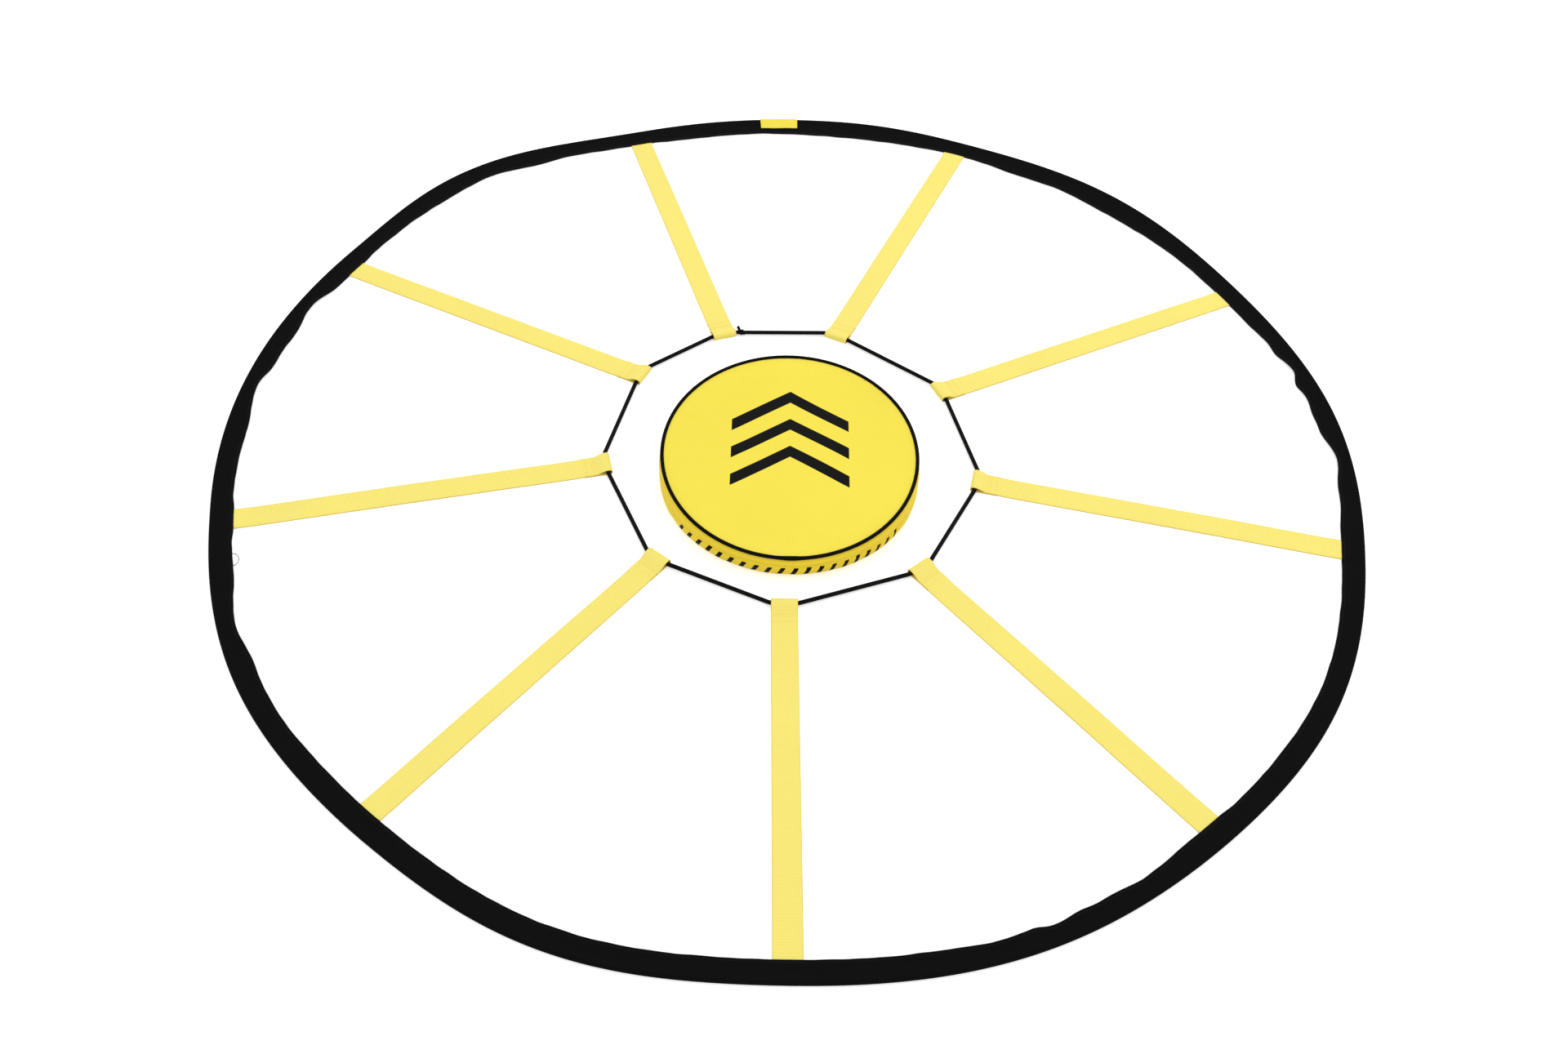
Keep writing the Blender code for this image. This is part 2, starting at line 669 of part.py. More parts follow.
def build_lid():
    """The rear of the top panel, with its piping, the upper gusset and the upper zip tape."""
    floor = -CUTTER_REACH
    sky = CUTTER_REACH
    gap = CLEARANCE / 2
    front = behind("lid_front_cutter", HINGE_Y + gap, floor, sky, front=True)
    low_gusset = behind("lower_gusset_cutter", -CUTTER_REACH, floor, ZIP_HEIGHT + ZIP_SLOT)
    low_row = behind("lower_row_cutter", -CUTTER_REACH, floor, ZIP_HEIGHT + gap)

    panel = add_object("bag_lid_panel", panel_mesh("bag_lid_panel"), PIECES, YELLOW_BAG, LID)
    gusset = build_gusset("bag_lid_gusset", LID)
    piping = add_turned("bag_lid_piping", piping_section(), BLACK_PIPING, LID)
    tape = add_turned("zip_tape_upper", zip_section(), ZIP_TAPE, LID)
    for piece, tilt in ((panel, TOP_TILT), (gusset, Matrix()), (piping, TOP_TILT), (tape, Matrix())):
        piece.matrix_local = Matrix.Translation(-LID.location) @ tilt
        combine(piece, front)
    combine(gusset, low_gusset)
    combine(tape, low_row)


def panel_mesh(name):
    """The whole round top panel, inside its piping."""
    return cylinder_mesh(name, PANEL_RADIUS, PANEL_TOP - BAG_FABRIC, PANEL_TOP, ROUND_STEPS)


def piping_section():
    """The piping's round section, outer side first from top to bottom."""
    gap = FULL_TURN / (PIPING_STEPS + 1)
    centre = (PIPING_RADIUS, PIPING_HEIGHT)
    return arc(centre, PIPING_DIAMETER / 2, gap / 2, gap * 1.5 - FULL_TURN, PIPING_STEPS)


def build_slider():
    """The zip's slider: a plate over the teeth, a flange each side of them, and its pull's lugs and pin."""
    outer = SLIDER_FACE + SLIDER_PLATE
    root = SLIDER_FACE + SLIDER_PLATE / 2
    half = SLIDER_LENGTH / 2
    tall = SLIDER_HEIGHT / 2
    plate = box_mesh("zip_slider", (SLIDER_FACE, -half, -tall), (outer, half, tall))
    slider = add_object("zip_slider", plate, PIECES, ZIP_METAL, SLIDER)
    flange_low = TEETH_HALF_HEIGHT + CLEARANCE
    for side, word in ((1, "upper"), (-1, "lower")):
        flange = sorted((side * flange_low, side * (flange_low + SLIDER_FLANGE)))
        name = f"{word}_flange"
        low = (ZIP_FACE + CLEARANCE, -half, flange[0])
        high = (root, half, flange[1])
        combine(slider, add_helper(name, box_mesh(name, low, high), SLIDER), "UNION")
        lug = sorted((side * (tall - LUG_HEIGHT), side * tall))
        name = f"{word}_lug"
        low = (root, -LUG_REACH / 2, lug[0])
        high = (outer + LUG_REACH, LUG_REACH / 2, lug[1])
        combine(slider, add_helper(name, box_mesh(name, low, high), SLIDER), "UNION")
    pin_end = tall - LUG_HEIGHT / 2
    pin_mesh = cylinder_mesh("pull_pin", PIN_DIAMETER / 2, -pin_end, pin_end, SMALL_STEPS)
    pin = add_helper("pull_pin", pin_mesh, SLIDER)
    pin.location.x = PULL_AXIS_REACH
    combine(slider, pin, "UNION")


def build_pull():
    """The pull tab: a flat tongue with an eye round the slider's pin."""
    half = PULL_THICKNESS / 2
    root = PULL_EYE + max(half, PULL_RIM)
    rim = arc((0.0, 0.0), PULL_EYE + PULL_RIM, 150.0, 390.0, SMALL_STEPS)
    tongue = [(half, root), (half, PULL_LENGTH), (-half, PULL_LENGTH), (-half, root)]
    hole = arc((0.0, 0.0), PULL_EYE, 0.0, FULL_TURN - FULL_TURN / SMALL_STEPS, SMALL_STEPS - 1)
    pull = plate_curve("zip_pull", [rim + tongue, hole], PULL_HEIGHT)
    add_object("zip_pull", pull, PIECES, ZIP_METAL, PULL)


def shade_round_pieces():
    """Shade the meshes smooth, with their edges kept."""
    for obj in PIECES.objects:
        if obj.type == "MESH":
            obj.data.shade_smooth()
            obj.data.set_sharp_from_angle(angle=math.radians(35.0))


clear_scene()
PIECES = new_collection("Circular agility ladder")
CUTTERS = new_collection("Cutters and guides")

SPRING_STEEL = new_material("Spring steel", (0.32, 0.32, 0.33), 0.35, 1.0)
PLATED_STEEL = new_material("Plated steel", (0.62, 0.62, 0.60), 0.3, 1.0)
BLACK_FABRIC = new_material("Black woven fabric", (0.008, 0.008, 0.009), 0.85)
YELLOW_LABEL = new_material("Yellow label weave", (0.90, 0.75, 0.10), 0.7)
YELLOW_WEBBING = new_material("Yellow webbing", (0.92, 0.76, 0.18), 0.75)
BLACK_CORD = new_material("Black elastic cord", (0.010, 0.010, 0.012), 0.7)
YELLOW_BAG = new_material("Yellow bag fabric", (0.95, 0.76, 0.06), 0.55)
BLACK_PIPING = new_material("Black piping", (0.010, 0.010, 0.011), 0.6)
ZIP_TAPE = new_material("Black zip tape", (0.012, 0.012, 0.013), 0.8)
ZIP_METAL = new_material("Zip metal", (0.05, 0.05, 0.05), 0.4, 1.0)

HOOP = add_empty("hoop_frame", -hoop_middle(), None)
CENTRE = add_empty("centre_lift_frame", (0.0, 0.0, 0.0), HOOP)
BAG = add_empty("bag_frame", (BAG_CENTRE_X, BAG_CENTRE_Y, 0.0), HOOP)
LID = add_empty("lid_hinge_frame", (0.0, HINGE_Y, HINGE_Z), BAG)
SLIDER = add_empty("zip_slider_frame", (0.0, 0.0, ZIP_HEIGHT), BAG, turn=SLIDER_ANGLE)
PULL = add_empty("zip_pull_frame", (PULL_AXIS_REACH, 0.0, 0.0), SLIDER)
bpy.context.view_layer.update()

build_wire()
build_ferrule()
build_sleeve()
build_label()
for spoke in range(len(SPOKES)):
    build_spoke(spoke)
build_cord()
build_bag()
build_lid()
build_slider()
build_pull()
shade_round_pieces()
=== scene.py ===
"""Looks of the circular agility ladder, built round its packed model.

A black fabric sleeve round a spring-wire hoop, nine yellow webbing spokes, a braided elastic centre
cord with its knot, and the round yellow carry bag. Metres, +Z up, in the packed model's frame.
Angles are in degrees round the hoop, anticlockwise from above, and 270 is the front spoke.
ROUND, FOLDED, PLAIN and HARD are the angles above which a piece's edges are shaded sharp.
"""

import json
import logging
import math
from dataclasses import dataclass, field, replace
from enum import Enum
from typing import Callable, Dict, List, Optional, Sequence, Tuple

import bmesh
import bpy
import numpy as np
from mathutils import Matrix, Vector

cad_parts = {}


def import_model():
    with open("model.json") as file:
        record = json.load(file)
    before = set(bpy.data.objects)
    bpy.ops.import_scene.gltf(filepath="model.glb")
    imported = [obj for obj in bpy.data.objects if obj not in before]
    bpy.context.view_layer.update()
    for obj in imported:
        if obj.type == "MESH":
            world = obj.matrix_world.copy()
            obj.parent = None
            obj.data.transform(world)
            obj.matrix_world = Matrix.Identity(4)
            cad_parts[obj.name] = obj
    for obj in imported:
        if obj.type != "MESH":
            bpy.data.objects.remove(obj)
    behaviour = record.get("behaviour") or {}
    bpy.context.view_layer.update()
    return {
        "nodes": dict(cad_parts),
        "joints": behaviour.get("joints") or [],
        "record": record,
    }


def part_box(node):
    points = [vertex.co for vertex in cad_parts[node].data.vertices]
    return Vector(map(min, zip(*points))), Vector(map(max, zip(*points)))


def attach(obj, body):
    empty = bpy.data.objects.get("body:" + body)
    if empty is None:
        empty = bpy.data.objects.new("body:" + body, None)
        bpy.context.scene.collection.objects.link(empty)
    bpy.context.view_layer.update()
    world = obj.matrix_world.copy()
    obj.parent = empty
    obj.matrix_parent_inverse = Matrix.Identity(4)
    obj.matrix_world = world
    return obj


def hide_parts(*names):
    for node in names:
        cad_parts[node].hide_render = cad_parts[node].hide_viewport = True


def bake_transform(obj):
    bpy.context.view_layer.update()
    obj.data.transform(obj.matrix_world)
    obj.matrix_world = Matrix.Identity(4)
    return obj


LOG = logging.getLogger("ladder")
Colour = Tuple[float, float, float]
Place = Callable[[float, float], Vector]
UP = Vector((0.0, 0.0, 1.0))
TURN = 360.0
MILLIMETRE = 0.001
HAIR = 1e-6
FLOOR_GAP = 0.00015
CLEARANCE = 0.0002
ROUND = 60.0
FOLDED = 50.0
PLAIN = 40.0
HARD = 30.0
SLOT_TOP = 0.425
SLOT_FOOT = 0.6
NOISE_DETAIL = 3.0
BROAD_SHARE = 0.7
METAL_PATCHES = 160.0
METAL_GRAIN = 900.0
METAL_RELIEF = 0.00002
CLOTH_GRAIN = 240.0
INK: Colour = (0.002, 0.002, 0.0018)


class Weave(Enum):
    """How a cloth's threads lie against its UV map."""

    SQUARE = 0.0
    BRAIDED = 45.0


def srgb(red: int, green: int, blue: int) -> Colour:
    """Give the linear colour of a screen colour.

    Args:
        red: Red, 0 to 255.
        green: Green, 0 to 255.
        blue: Blue, 0 to 255.

    Returns:
        The three linear values.
    """
    linear = []
    for value in (red, green, blue):
        share = value / 255
        linear.append(share / 12.92 if share <= 0.04045 else ((share + 0.055) / 1.055) ** 2.4)
    return tuple(linear)


def polar(radius: float, angle: float, height: float = 0.0) -> Vector:
    """Give the point at a radius and an angle in degrees."""
    turn = math.radians(angle)
    return Vector((radius * math.cos(turn), radius * math.sin(turn), height))


def smooth_step(share: float) -> float:
    """Ease a share from 0 to 1, level at both ends."""
    share = min(max(share, 0.0), 1.0)
    return share * share * (3.0 - 2.0 * share)


def bump(distance: float, reach: float) -> float:
    """Give a rounded hill that is 1 in its middle and 0 from its reach outwards."""
    return math.cos(math.pi / 2 * distance / reach) ** 2 if abs(distance) < reach else 0.0


def apart(angle: float, other: float) -> float:
    """Give the signed turn from one angle to another, between -180 and 180 degrees."""
    return (angle - other + TURN / 2) % TURN - TURN / 2


def ripple(angle: float, waves: Sequence[Tuple[float, float]], seed: float) -> float:
    """Add up a few sine waves round a ring, for wrinkles that look unplanned.

    Args:
        angle: Where on the ring, in degrees.
        waves: Pairs of a count round the ring and a share of the height.
        seed: A number that shifts the waves against each other.

    Returns:
        A height, between -1 and 1 where the shares add up to 1.
    """
    turn = math.radians(angle)
    return sum(share * math.sin(count * turn + seed * (i + 1) ** 2) for i, (count, share) in enumerate(waves))


class Graph:
    """Adds nodes to a shader tree and wires them."""

    def __init__(self, tree: bpy.types.NodeTree) -> None:
        """Work in one tree."""
        self.tree = tree

    def node(self, kind: str, **settings: object) -> bpy.types.Node:
        """Add a node and set its properties.

        Args:
            kind: The node's type.
            settings: Its properties, by name.

        Returns:
            The node.
        """
        made = self.tree.nodes.new(kind)
        for name, value in settings.items():
            setattr(made, name, value)
        return made

    def wire(self, target: bpy.types.NodeSocket, value: object) -> None:
        """Feed a socket from another socket, or set its own value.

        Args:
            target: The socket to feed.
            value: Another socket, or the value itself.
        """
        if isinstance(value, bpy.types.NodeSocket):
            self.tree.links.new(value, target)
        else:
            target.default_value = value

    def math(self, operation: str, first: object, second: object = 0.0) -> bpy.types.NodeSocket:
        """Add a Math node and give its result.

        Args:
            operation: What the node works out.
            first: A socket or a number.
            second: A socket or a number.

        Returns:
            The result's socket.
        """
        made = self.node("ShaderNodeMath", operation=operation)
        self.wire(made.inputs[0], first)
        self.wire(made.inputs[1], second)
        return made.outputs[0]

    def mix(self, share: object, first: object, second: object) -> bpy.types.NodeSocket:
        """Mix two colours by a share and give the result.

        Args:
            share: How much of the second colour there is.
            first: A colour or its socket.
            second: A colour or its socket.

        Returns:
            The mixed colour's socket.
        """
        made = self.node("ShaderNodeMix", data_type="RGBA")
        self.wire(made.inputs["Factor"], share)
        self.wire(made.inputs["A"], first)
        self.wire(made.inputs["B"], second)
        return made.outputs["Result"]

    def product(self, *factors: object) -> bpy.types.NodeSocket:
        """Multiply several values one after the other.

        Args:
            factors: Sockets or numbers.

        Returns:
            The result's socket.
        """
        result = factors[0]
        for factor in factors[1:]:
            result = self.math("MULTIPLY", result, factor)
        return result

    def mapped(self, vector: object, turn: float = 0.0,
               place: Sequence[float] = (0.0, 0.0, 0.0)) -> bpy.types.NodeSocket:
        """Move a pattern's coordinates, then turn them about Z by an angle in degrees.

        Args:
            vector: The coordinates' socket.
            turn: The turn in degrees.
            place: Where the pattern's origin goes.

        Returns:
            The moved coordinates' socket.
        """
        made = self.node("ShaderNodeMapping", vector_type="TEXTURE")
        made.inputs["Location"].default_value = place
        made.inputs["Rotation"].default_value = (0.0, 0.0, math.radians(turn))
        self.wire(made.inputs["Vector"], vector)
        return made.outputs[0]

    def split(self, vector: object) -> bpy.types.NodeOutputs:
        """Split coordinates into X, Y and Z, and give the node's outputs."""
        made = self.node("ShaderNodeSeparateXYZ")
        self.wire(made.inputs[0], vector)
        return made.outputs

    def noise(self, vector: object, scale: object) -> bpy.types.NodeSocket:
        """Add a noise texture and give its value, about 0.5 on average.

        Args:
            vector: The coordinates' socket.
            scale: How many lumps there are in a metre, a number or a socket.

        Returns:
            The value's socket.
        """
        made = self.node("ShaderNodeTexNoise")
        self.wire(made.inputs["Vector"], vector)
        self.wire(made.inputs["Scale"], scale)
        made.inputs["Detail"].default_value = NOISE_DETAIL
        return made.outputs[0]

    def ranged(self, value: object, old: Tuple[float, float],
               new: Tuple[float, float] = (0.0, 1.0)) -> bpy.types.NodeSocket:
        """Carry a value from one range to another, clamped.

        Args:
            value: The value's socket.
            old: The range that it comes from.
            new: The range that it goes to, 0 to 1 unless another is given.

        Returns:
            The new value's socket.
        """
        made = self.node("ShaderNodeMapRange")
        self.wire(made.inputs["Value"], value)
        for name, number in zip(("From Min", "From Max", "To Min", "To Max"), (*old, *new)):
            made.inputs[name].default_value = number
        return made.outputs[0]


class PatternBook:
    """The patterns that more than one finish uses, each a node group that is built once."""

    def __init__(self) -> None:
        """Start with no group built."""
        self.groups: Dict[Callable, bpy.types.NodeTree] = {}

    def group(self, name: str, numbers: Sequence[str]) -> Tuple[Graph, dict, bpy.types.NodeSocket]:
        """Start a node group that makes one value from coordinates and some numbers.

        Args:
            name: The group's name.
            numbers: The names of the numbers that it takes.

        Returns:
            The group's graph, the sockets that carry its inputs, and the one that takes its value.
        """
        tree = bpy.data.node_groups.new(name, "ShaderNodeTree")
        tree.interface.new_socket(name="Vector", in_out="INPUT", socket_type="NodeSocketVector")
        for number in numbers:
            tree.interface.new_socket(name=number, in_out="INPUT", socket_type="NodeSocketFloat")
        tree.interface.new_socket(name="Value", in_out="OUTPUT", socket_type="NodeSocketFloat")
        graph = Graph(tree)
        entry = graph.node("NodeGroupInput")
        leave = graph.node("NodeGroupOutput")
        return graph, entry.outputs, leave.inputs["Value"]

    def thread_weave(self) -> bpy.types.NodeTree:
        """Build the plain weave: threads that go over and under each other in turn.

        Returns:
            The node group.
        """
        graph, given, height = self.group("Thread weave", ("Pitch",))
        parts = graph.split(given["Vector"])
        waves = []
        for axis in ("X", "Y"):
            turn = graph.math("MULTIPLY", graph.math("DIVIDE", parts[axis], given["Pitch"]), math.pi)
            waves.append(graph.math("SINE", turn))
        over = graph.math("GREATER_THAN", graph.math("MULTIPLY", waves[0], waves[1]), 0.0)
        warp = graph.math("MULTIPLY", graph.math("ABSOLUTE", waves[0]), over)
        weft = graph.math("MULTIPLY", graph.math("ABSOLUTE", waves[1]), graph.math("SUBTRACT", 1.0, over))
        graph.wire(height, graph.math("ADD", warp, weft))
        return graph.tree

    def webbing_ribs(self) -> bpy.types.NodeTree:
        """Build the webbing's crosswise ribs, each broken up by the threads that run along it.

        Returns:
            The node group.
        """
        graph, given, height = self.group("Webbing ribs", ("Rib", "Thread"))
        parts = graph.split(given["Vector"])
        along = graph.math("MULTIPLY", graph.math("DIVIDE", parts["X"], given["Rib"]), math.pi)
        across = graph.math("MULTIPLY", graph.math("DIVIDE", parts["Y"], given["Thread"]), math.pi)
        rib = graph.math("POWER", graph.math("ABSOLUTE", graph.math("SINE", along)), 0.6)
        thread = graph.ranged(graph.math("ABSOLUTE", graph.math("SINE", across)), (0.0, 1.0), (0.75, 1.0))
        graph.wire(height, graph.math("MULTIPLY", rib, thread))
        return graph.tree

    def mottle(self) -> bpy.types.NodeTree:
        """Build the uneven tone of dyed cloth: broad patches and a finer grain.

        Returns:
            The node group.
        """
        graph, given, tone = self.group("Cloth mottle", ("Broad", "Fine"))
        broad = graph.math("MULTIPLY", graph.noise(given["Vector"], given["Broad"]), BROAD_SHARE)
        fine = graph.math("MULTIPLY", graph.noise(given["Vector"], given["Fine"]), 1 - BROAD_SHARE)
        both = graph.math("ADD", broad, fine)
        graph.wire(tone, graph.ranged(both, (0.3, 0.7)))
        return graph.tree

    def place(self, graph: Graph, pattern: Callable, vector: object,
              **values: object) -> bpy.types.NodeSocket:
        """Put a pattern into a material, and build its group the first time.

        Args:
            graph: The material's graph.
            pattern: The method that builds the pattern.
            vector: The coordinates' socket.
            values: The pattern's numbers, by name.

        Returns:
            The socket of the pattern's value.
        """
        if pattern not in self.groups:
            self.groups[pattern] = pattern()
        made = graph.node("ShaderNodeGroup", node_tree=self.groups[pattern])
        for name, value in {"Vector": vector, **values}.items():
            graph.wire(made.inputs[name], value)
        return made.outputs["Value"]


PATTERNS = PatternBook()


@dataclass(frozen=True)
class Finish:
    """What every finish has: its name, roughness and metal, and the record's slot."""

    name: str
    slot: str
    colour: Colour
    roughness: float = 0.8
    metallic: float = 0.0
    sheen: float = 0.0
    specular: float = 0.5

    def material(self) -> bpy.types.Material:
        """Give the finish's material, built the first time.

        Returns:
            The material.
        """
        found = bpy.data.materials.get(self.name)
        if found:
            return found
        made = bpy.data.materials.new(self.name)
        made.use_nodes = True
        graph = Graph(made.node_tree)
        shader = made.node_tree.nodes["Principled BSDF"]
        shader.inputs["Base Color"].default_value = (*self.colour, 1.0)
        shader.inputs["Roughness"].default_value = self.roughness
        shader.inputs["Metallic"].default_value = self.metallic
        shader.inputs["Sheen Weight"].default_value = self.sheen
        shader.inputs["Specular IOR Level"].default_value = self.specular
        self.dress(graph, shader)
        return made

    def dress(self, graph: Graph, shader: bpy.types.Node) -> None:
        """Add the finish's own pattern: here metal whose roughness and relief are a little uneven.

        Args:
            graph: The material's graph.
            shader: The material's shader.
        """
        place = graph.node("ShaderNodeTexCoord").outputs["Object"]
        tone = PATTERNS.place(graph, PATTERNS.mottle, place, Broad=METAL_PATCHES, Fine=METAL_GRAIN)
        rough = (self.roughness * 0.8, min(self.roughness * 1.3, 1.0))
        graph.wire(shader.inputs["Roughness"], graph.ranged(tone, (0.0, 1.0), rough))
        self.relief(graph, shader, tone, METAL_RELIEF, 0.3)

    def relief(self, graph: Graph, shader: bpy.types.Node, height: object,
               depth: float, strength: float) -> None:
        """Feed a height into the shader's normal through a Bump node.

        Args:
            graph: The material's graph.
            shader: The material's shader.
            height: The height's socket, 0 to 1.
            depth: How deep the relief is, in metres.
            strength: How strongly it shows.
        """
        raised = graph.node("ShaderNodeBump")
        raised.inputs["Distance"].default_value = depth
        raised.inputs["Strength"].default_value = strength
        graph.wire(raised.inputs["Height"], height)
        graph.wire(shader.inputs["Normal"], raised.outputs[0])


@dataclass(frozen=True)
class Cloth(Finish):
    """Woven cloth or braid: threads, uneven dye, and painted shade in the gaps between the threads."""

    pitch: float = 0.0008
    weave: Weave = Weave.SQUARE
    # Painted shade: how light the gaps between the threads stay.
    gap: float = 0.8
    patches: float = 0.9
    depth: float = 0.00025
    broad: float = 9.0

    def threads(self, graph: Graph, vector: object) -> bpy.types.NodeSocket:
        """Give the height of the threads."""
        turned = graph.mapped(vector, self.weave.value)
        return PATTERNS.place(graph, PATTERNS.thread_weave, turned, Pitch=self.pitch)

    def dress(self, graph: Graph, shader: bpy.types.Node) -> None:
        """Add threads, mottled dye, painted shade in the gaps between the threads, and the threads' relief.

        Args:
            graph: The material's graph.
            shader: The material's shader.
        """
        coordinates = graph.node("ShaderNodeTexCoord")
        height = self.threads(graph, coordinates.outputs["UV"])
        place = coordinates.outputs["Object"]
        tone = PATTERNS.place(graph, PATTERNS.mottle, place, Broad=self.broad, Fine=CLOTH_GRAIN)
        dyed = self.dye(graph, coordinates.outputs["UV"], tone)
        # Painted shade: where the threads are low, the dye is darkened by the share gap.
        low = graph.node("ShaderNodeHueSaturation")
        low.inputs["Value"].default_value = self.gap
        graph.wire(low.inputs["Color"], dyed)
        colour = graph.mix(graph.ranged(height, (0.1, 0.7)), low.outputs[0], dyed)
        graph.wire(shader.inputs["Base Color"], colour)
        rough = (self.roughness - 0.06, self.roughness + 0.06)
        graph.wire(shader.inputs["Roughness"], graph.ranged(tone, (0.0, 1.0), rough))
        self.relief(graph, shader, height, self.depth, 0.6)

    def dye(self, graph: Graph, flat: object, tone: object) -> bpy.types.NodeSocket:
        """Give the cloth's colour before its threads are shaded.

        Args:
            graph: The material's graph.
            flat: The socket of the flat map, in metres of cloth; not used by this plain dye.
            tone: How light the dye is, 0 to 1.

        Returns:
            The colour's socket.
        """
        deep = tuple(channel * self.patches for channel in self.colour)
        return graph.mix(tone, (*deep, 1.0), (*self.colour, 1.0))


@dataclass(frozen=True)
class Webbing(Cloth):
    """Flat woven webbing with crosswise ribs, and painted shade along each edge."""

    rib: float = 0.0026
    width: float = 0.0381
    edge: float = 0.0011
    # Painted shade: the colour that each edge of the webbing darkens to.
    edge_shade_colour: Colour = (0.8, 0.6, 0.1)

    def threads(self, graph: Graph, vector: object) -> bpy.types.NodeSocket:
        """Give the height of the ribs."""
        return PATTERNS.place(graph, PATTERNS.webbing_ribs, vector, Rib=self.rib, Thread=self.pitch)

    def dye(self, graph: Graph, flat: object, tone: object) -> bpy.types.NodeSocket:
        """Paint shade along the webbing's two edges, over the dyed cloth.

        Args:
            graph: The material's graph.
            flat: The socket of the flat map, in metres of cloth.
            tone: How light the dye is, 0 to 1.

        Returns:
            The colour's socket.
        """
        plain = super().dye(graph, flat, tone)
        # Painted shade: the dye darkens towards the edge colour over the last stretch of each side.
        off = graph.math("ABSOLUTE", graph.split(flat)["Y"])
        half = self.width / 2
        return graph.mix(graph.ranged(off, (half - self.edge, half)), plain, (*self.edge_shade_colour, 1.0))


@dataclass(frozen=True)
class InkedCloth(Cloth):
    """Satin cloth with plain black marks, which each kind of print works out for itself."""

    def dye(self, graph: Graph, flat: object, tone: object) -> bpy.types.NodeSocket:
        """Print the marks over the dyed cloth."""
        plain = super().dye(graph, flat, tone)
        return graph.mix(self.marks(graph, flat), plain, (*INK, 1.0))

    def marks(self, graph: Graph, flat: object) -> bpy.types.NodeSocket:
        """Give 1 where there is ink and 0 elsewhere."""
        raise NotImplementedError


@dataclass(frozen=True)
class PrintedCloth(InkedCloth):
    """Satin cloth with a plain black print of nested arrowheads."""

    centre: Tuple[float, float] = (0.0, 0.0)
    count: int = 3
    spacing: float = 0.052
    stroke: float = 0.021
    reach: float = 0.088
    slant: float = 0.62
    lift: float = 0.03

    def marks(self, graph: Graph, flat: object) -> bpy.types.NodeSocket:
        """Give 1 on the arrowheads and 0 elsewhere.

        Args:
            graph: The material's graph.
            flat: The socket of the flat map, in metres of cloth.

        Returns:
            The ink's socket.
        """
        parts = graph.split(graph.mapped(flat, 0.0, (*self.centre, 0.0)))
        side = graph.math("ABSOLUTE", parts["X"])
        along = graph.math("ADD", parts["Y"], graph.math("MULTIPLY", side, self.slant))
        span = self.spacing * self.count
        start = -span / 2 + self.spacing / 2 + self.reach * self.slant / 2 + self.lift
        wave = graph.math("PINGPONG", graph.math("SUBTRACT", along, start), self.spacing / 2)
        stripe = graph.math("LESS_THAN", wave, self.stroke / 2)
        low = graph.math("GREATER_THAN", along, start - self.spacing / 2)
        high = graph.math("LESS_THAN", along, start + span - self.spacing / 2)
        width = graph.math("LESS_THAN", side, self.reach)
        return graph.product(stripe, low, high, width)


@dataclass(frozen=True)
class BandedCloth(InkedCloth):
    """Satin cloth with a plain row of slanted black dashes round the front of the bag."""

    pitch_round: float = 0.019
    dash: float = 0.007
    low: float = 0.0105
    high: float = 0.0225
    slant: float = -0.5
    half_length: float = 0.19

    def marks(self, graph: Graph, flat: object) -> bpy.types.NodeSocket:
        """Give 1 on the dashes and 0 elsewhere.

        Args:
            graph: The material's graph.
            flat: The socket of the flat map, in metres of cloth.

        Returns:
            The ink's socket.
        """
        parts = graph.split(flat)
        leaning = graph.math("ADD", parts["X"], graph.math("MULTIPLY", parts["Y"], self.slant))
        wave = graph.math("PINGPONG", leaning, self.pitch_round / 2)
        mark = graph.math("LESS_THAN", wave, self.dash / 2)
        above = graph.math("GREATER_THAN", parts["Y"], self.low)
        below = graph.math("LESS_THAN", parts["Y"], self.high)
        near = graph.math("LESS_THAN", graph.math("ABSOLUTE", parts["X"]), self.half_length)
        return graph.product(mark, above, below, near)


SLEEVE_BLACK = Cloth(
    name="Sleeve cloth", slot="sleeve_fabric", colour=srgb(18, 17, 18), roughness=0.86, specular=0.045,
    pitch=0.0009, gap=0.55, patches=0.72, depth=0.0003, broad=14.0,
)
THREAD_BLACK = Finish(
    name="Black thread", slot="sleeve_fabric", colour=srgb(30, 28, 34), roughness=0.55, specular=0.2,
)
EDGING_THREAD = Finish(
    name="Hem edging thread", slot="sleeve_fabric", colour=srgb(40, 27, 46), roughness=0.6, specular=0.15,
)
WEBBING_YELLOW = Webbing(
    name="Webbing", slot="webbing", colour=srgb(255, 238, 120), roughness=0.72, sheen=0.05, specular=0.3,
    pitch=0.0011, gap=0.86, patches=0.95, depth=0.00045, broad=7.0, edge_shade_colour=srgb(225, 190, 62),
)
THREAD_YELLOW = Finish(
    name="Yellow thread", slot="webbing", colour=srgb(244, 214, 84), roughness=0.5, specular=0.3,
)
LABEL_YELLOW = Cloth(
    name="Label weave", slot="label_weave", colour=srgb(252, 232, 72), roughness=0.6, specular=0.3,
    pitch=0.0005, gap=0.85, patches=0.94, depth=0.0001, broad=30.0,
)
LABEL_THREAD = Finish(
    name="Label thread", slot="label_weave", colour=srgb(226, 172, 34), roughness=0.5, specular=0.3,
)
CORD_BLACK = Cloth(
    name="Cord braid", slot="cord_jacket", colour=srgb(15, 14, 17), roughness=0.6, specular=0.055,
    pitch=0.00178, weave=Weave.BRAIDED, gap=0.4, patches=0.85, depth=0.0005, broad=30.0,
)
BAG_YELLOW = Cloth(
    name="Bag cloth", slot="bag_fabric", colour=srgb(255, 235, 83), roughness=0.5, specular=0.08,
    pitch=0.0006, gap=0.93, patches=0.95, depth=0.0001, broad=5.0,
)
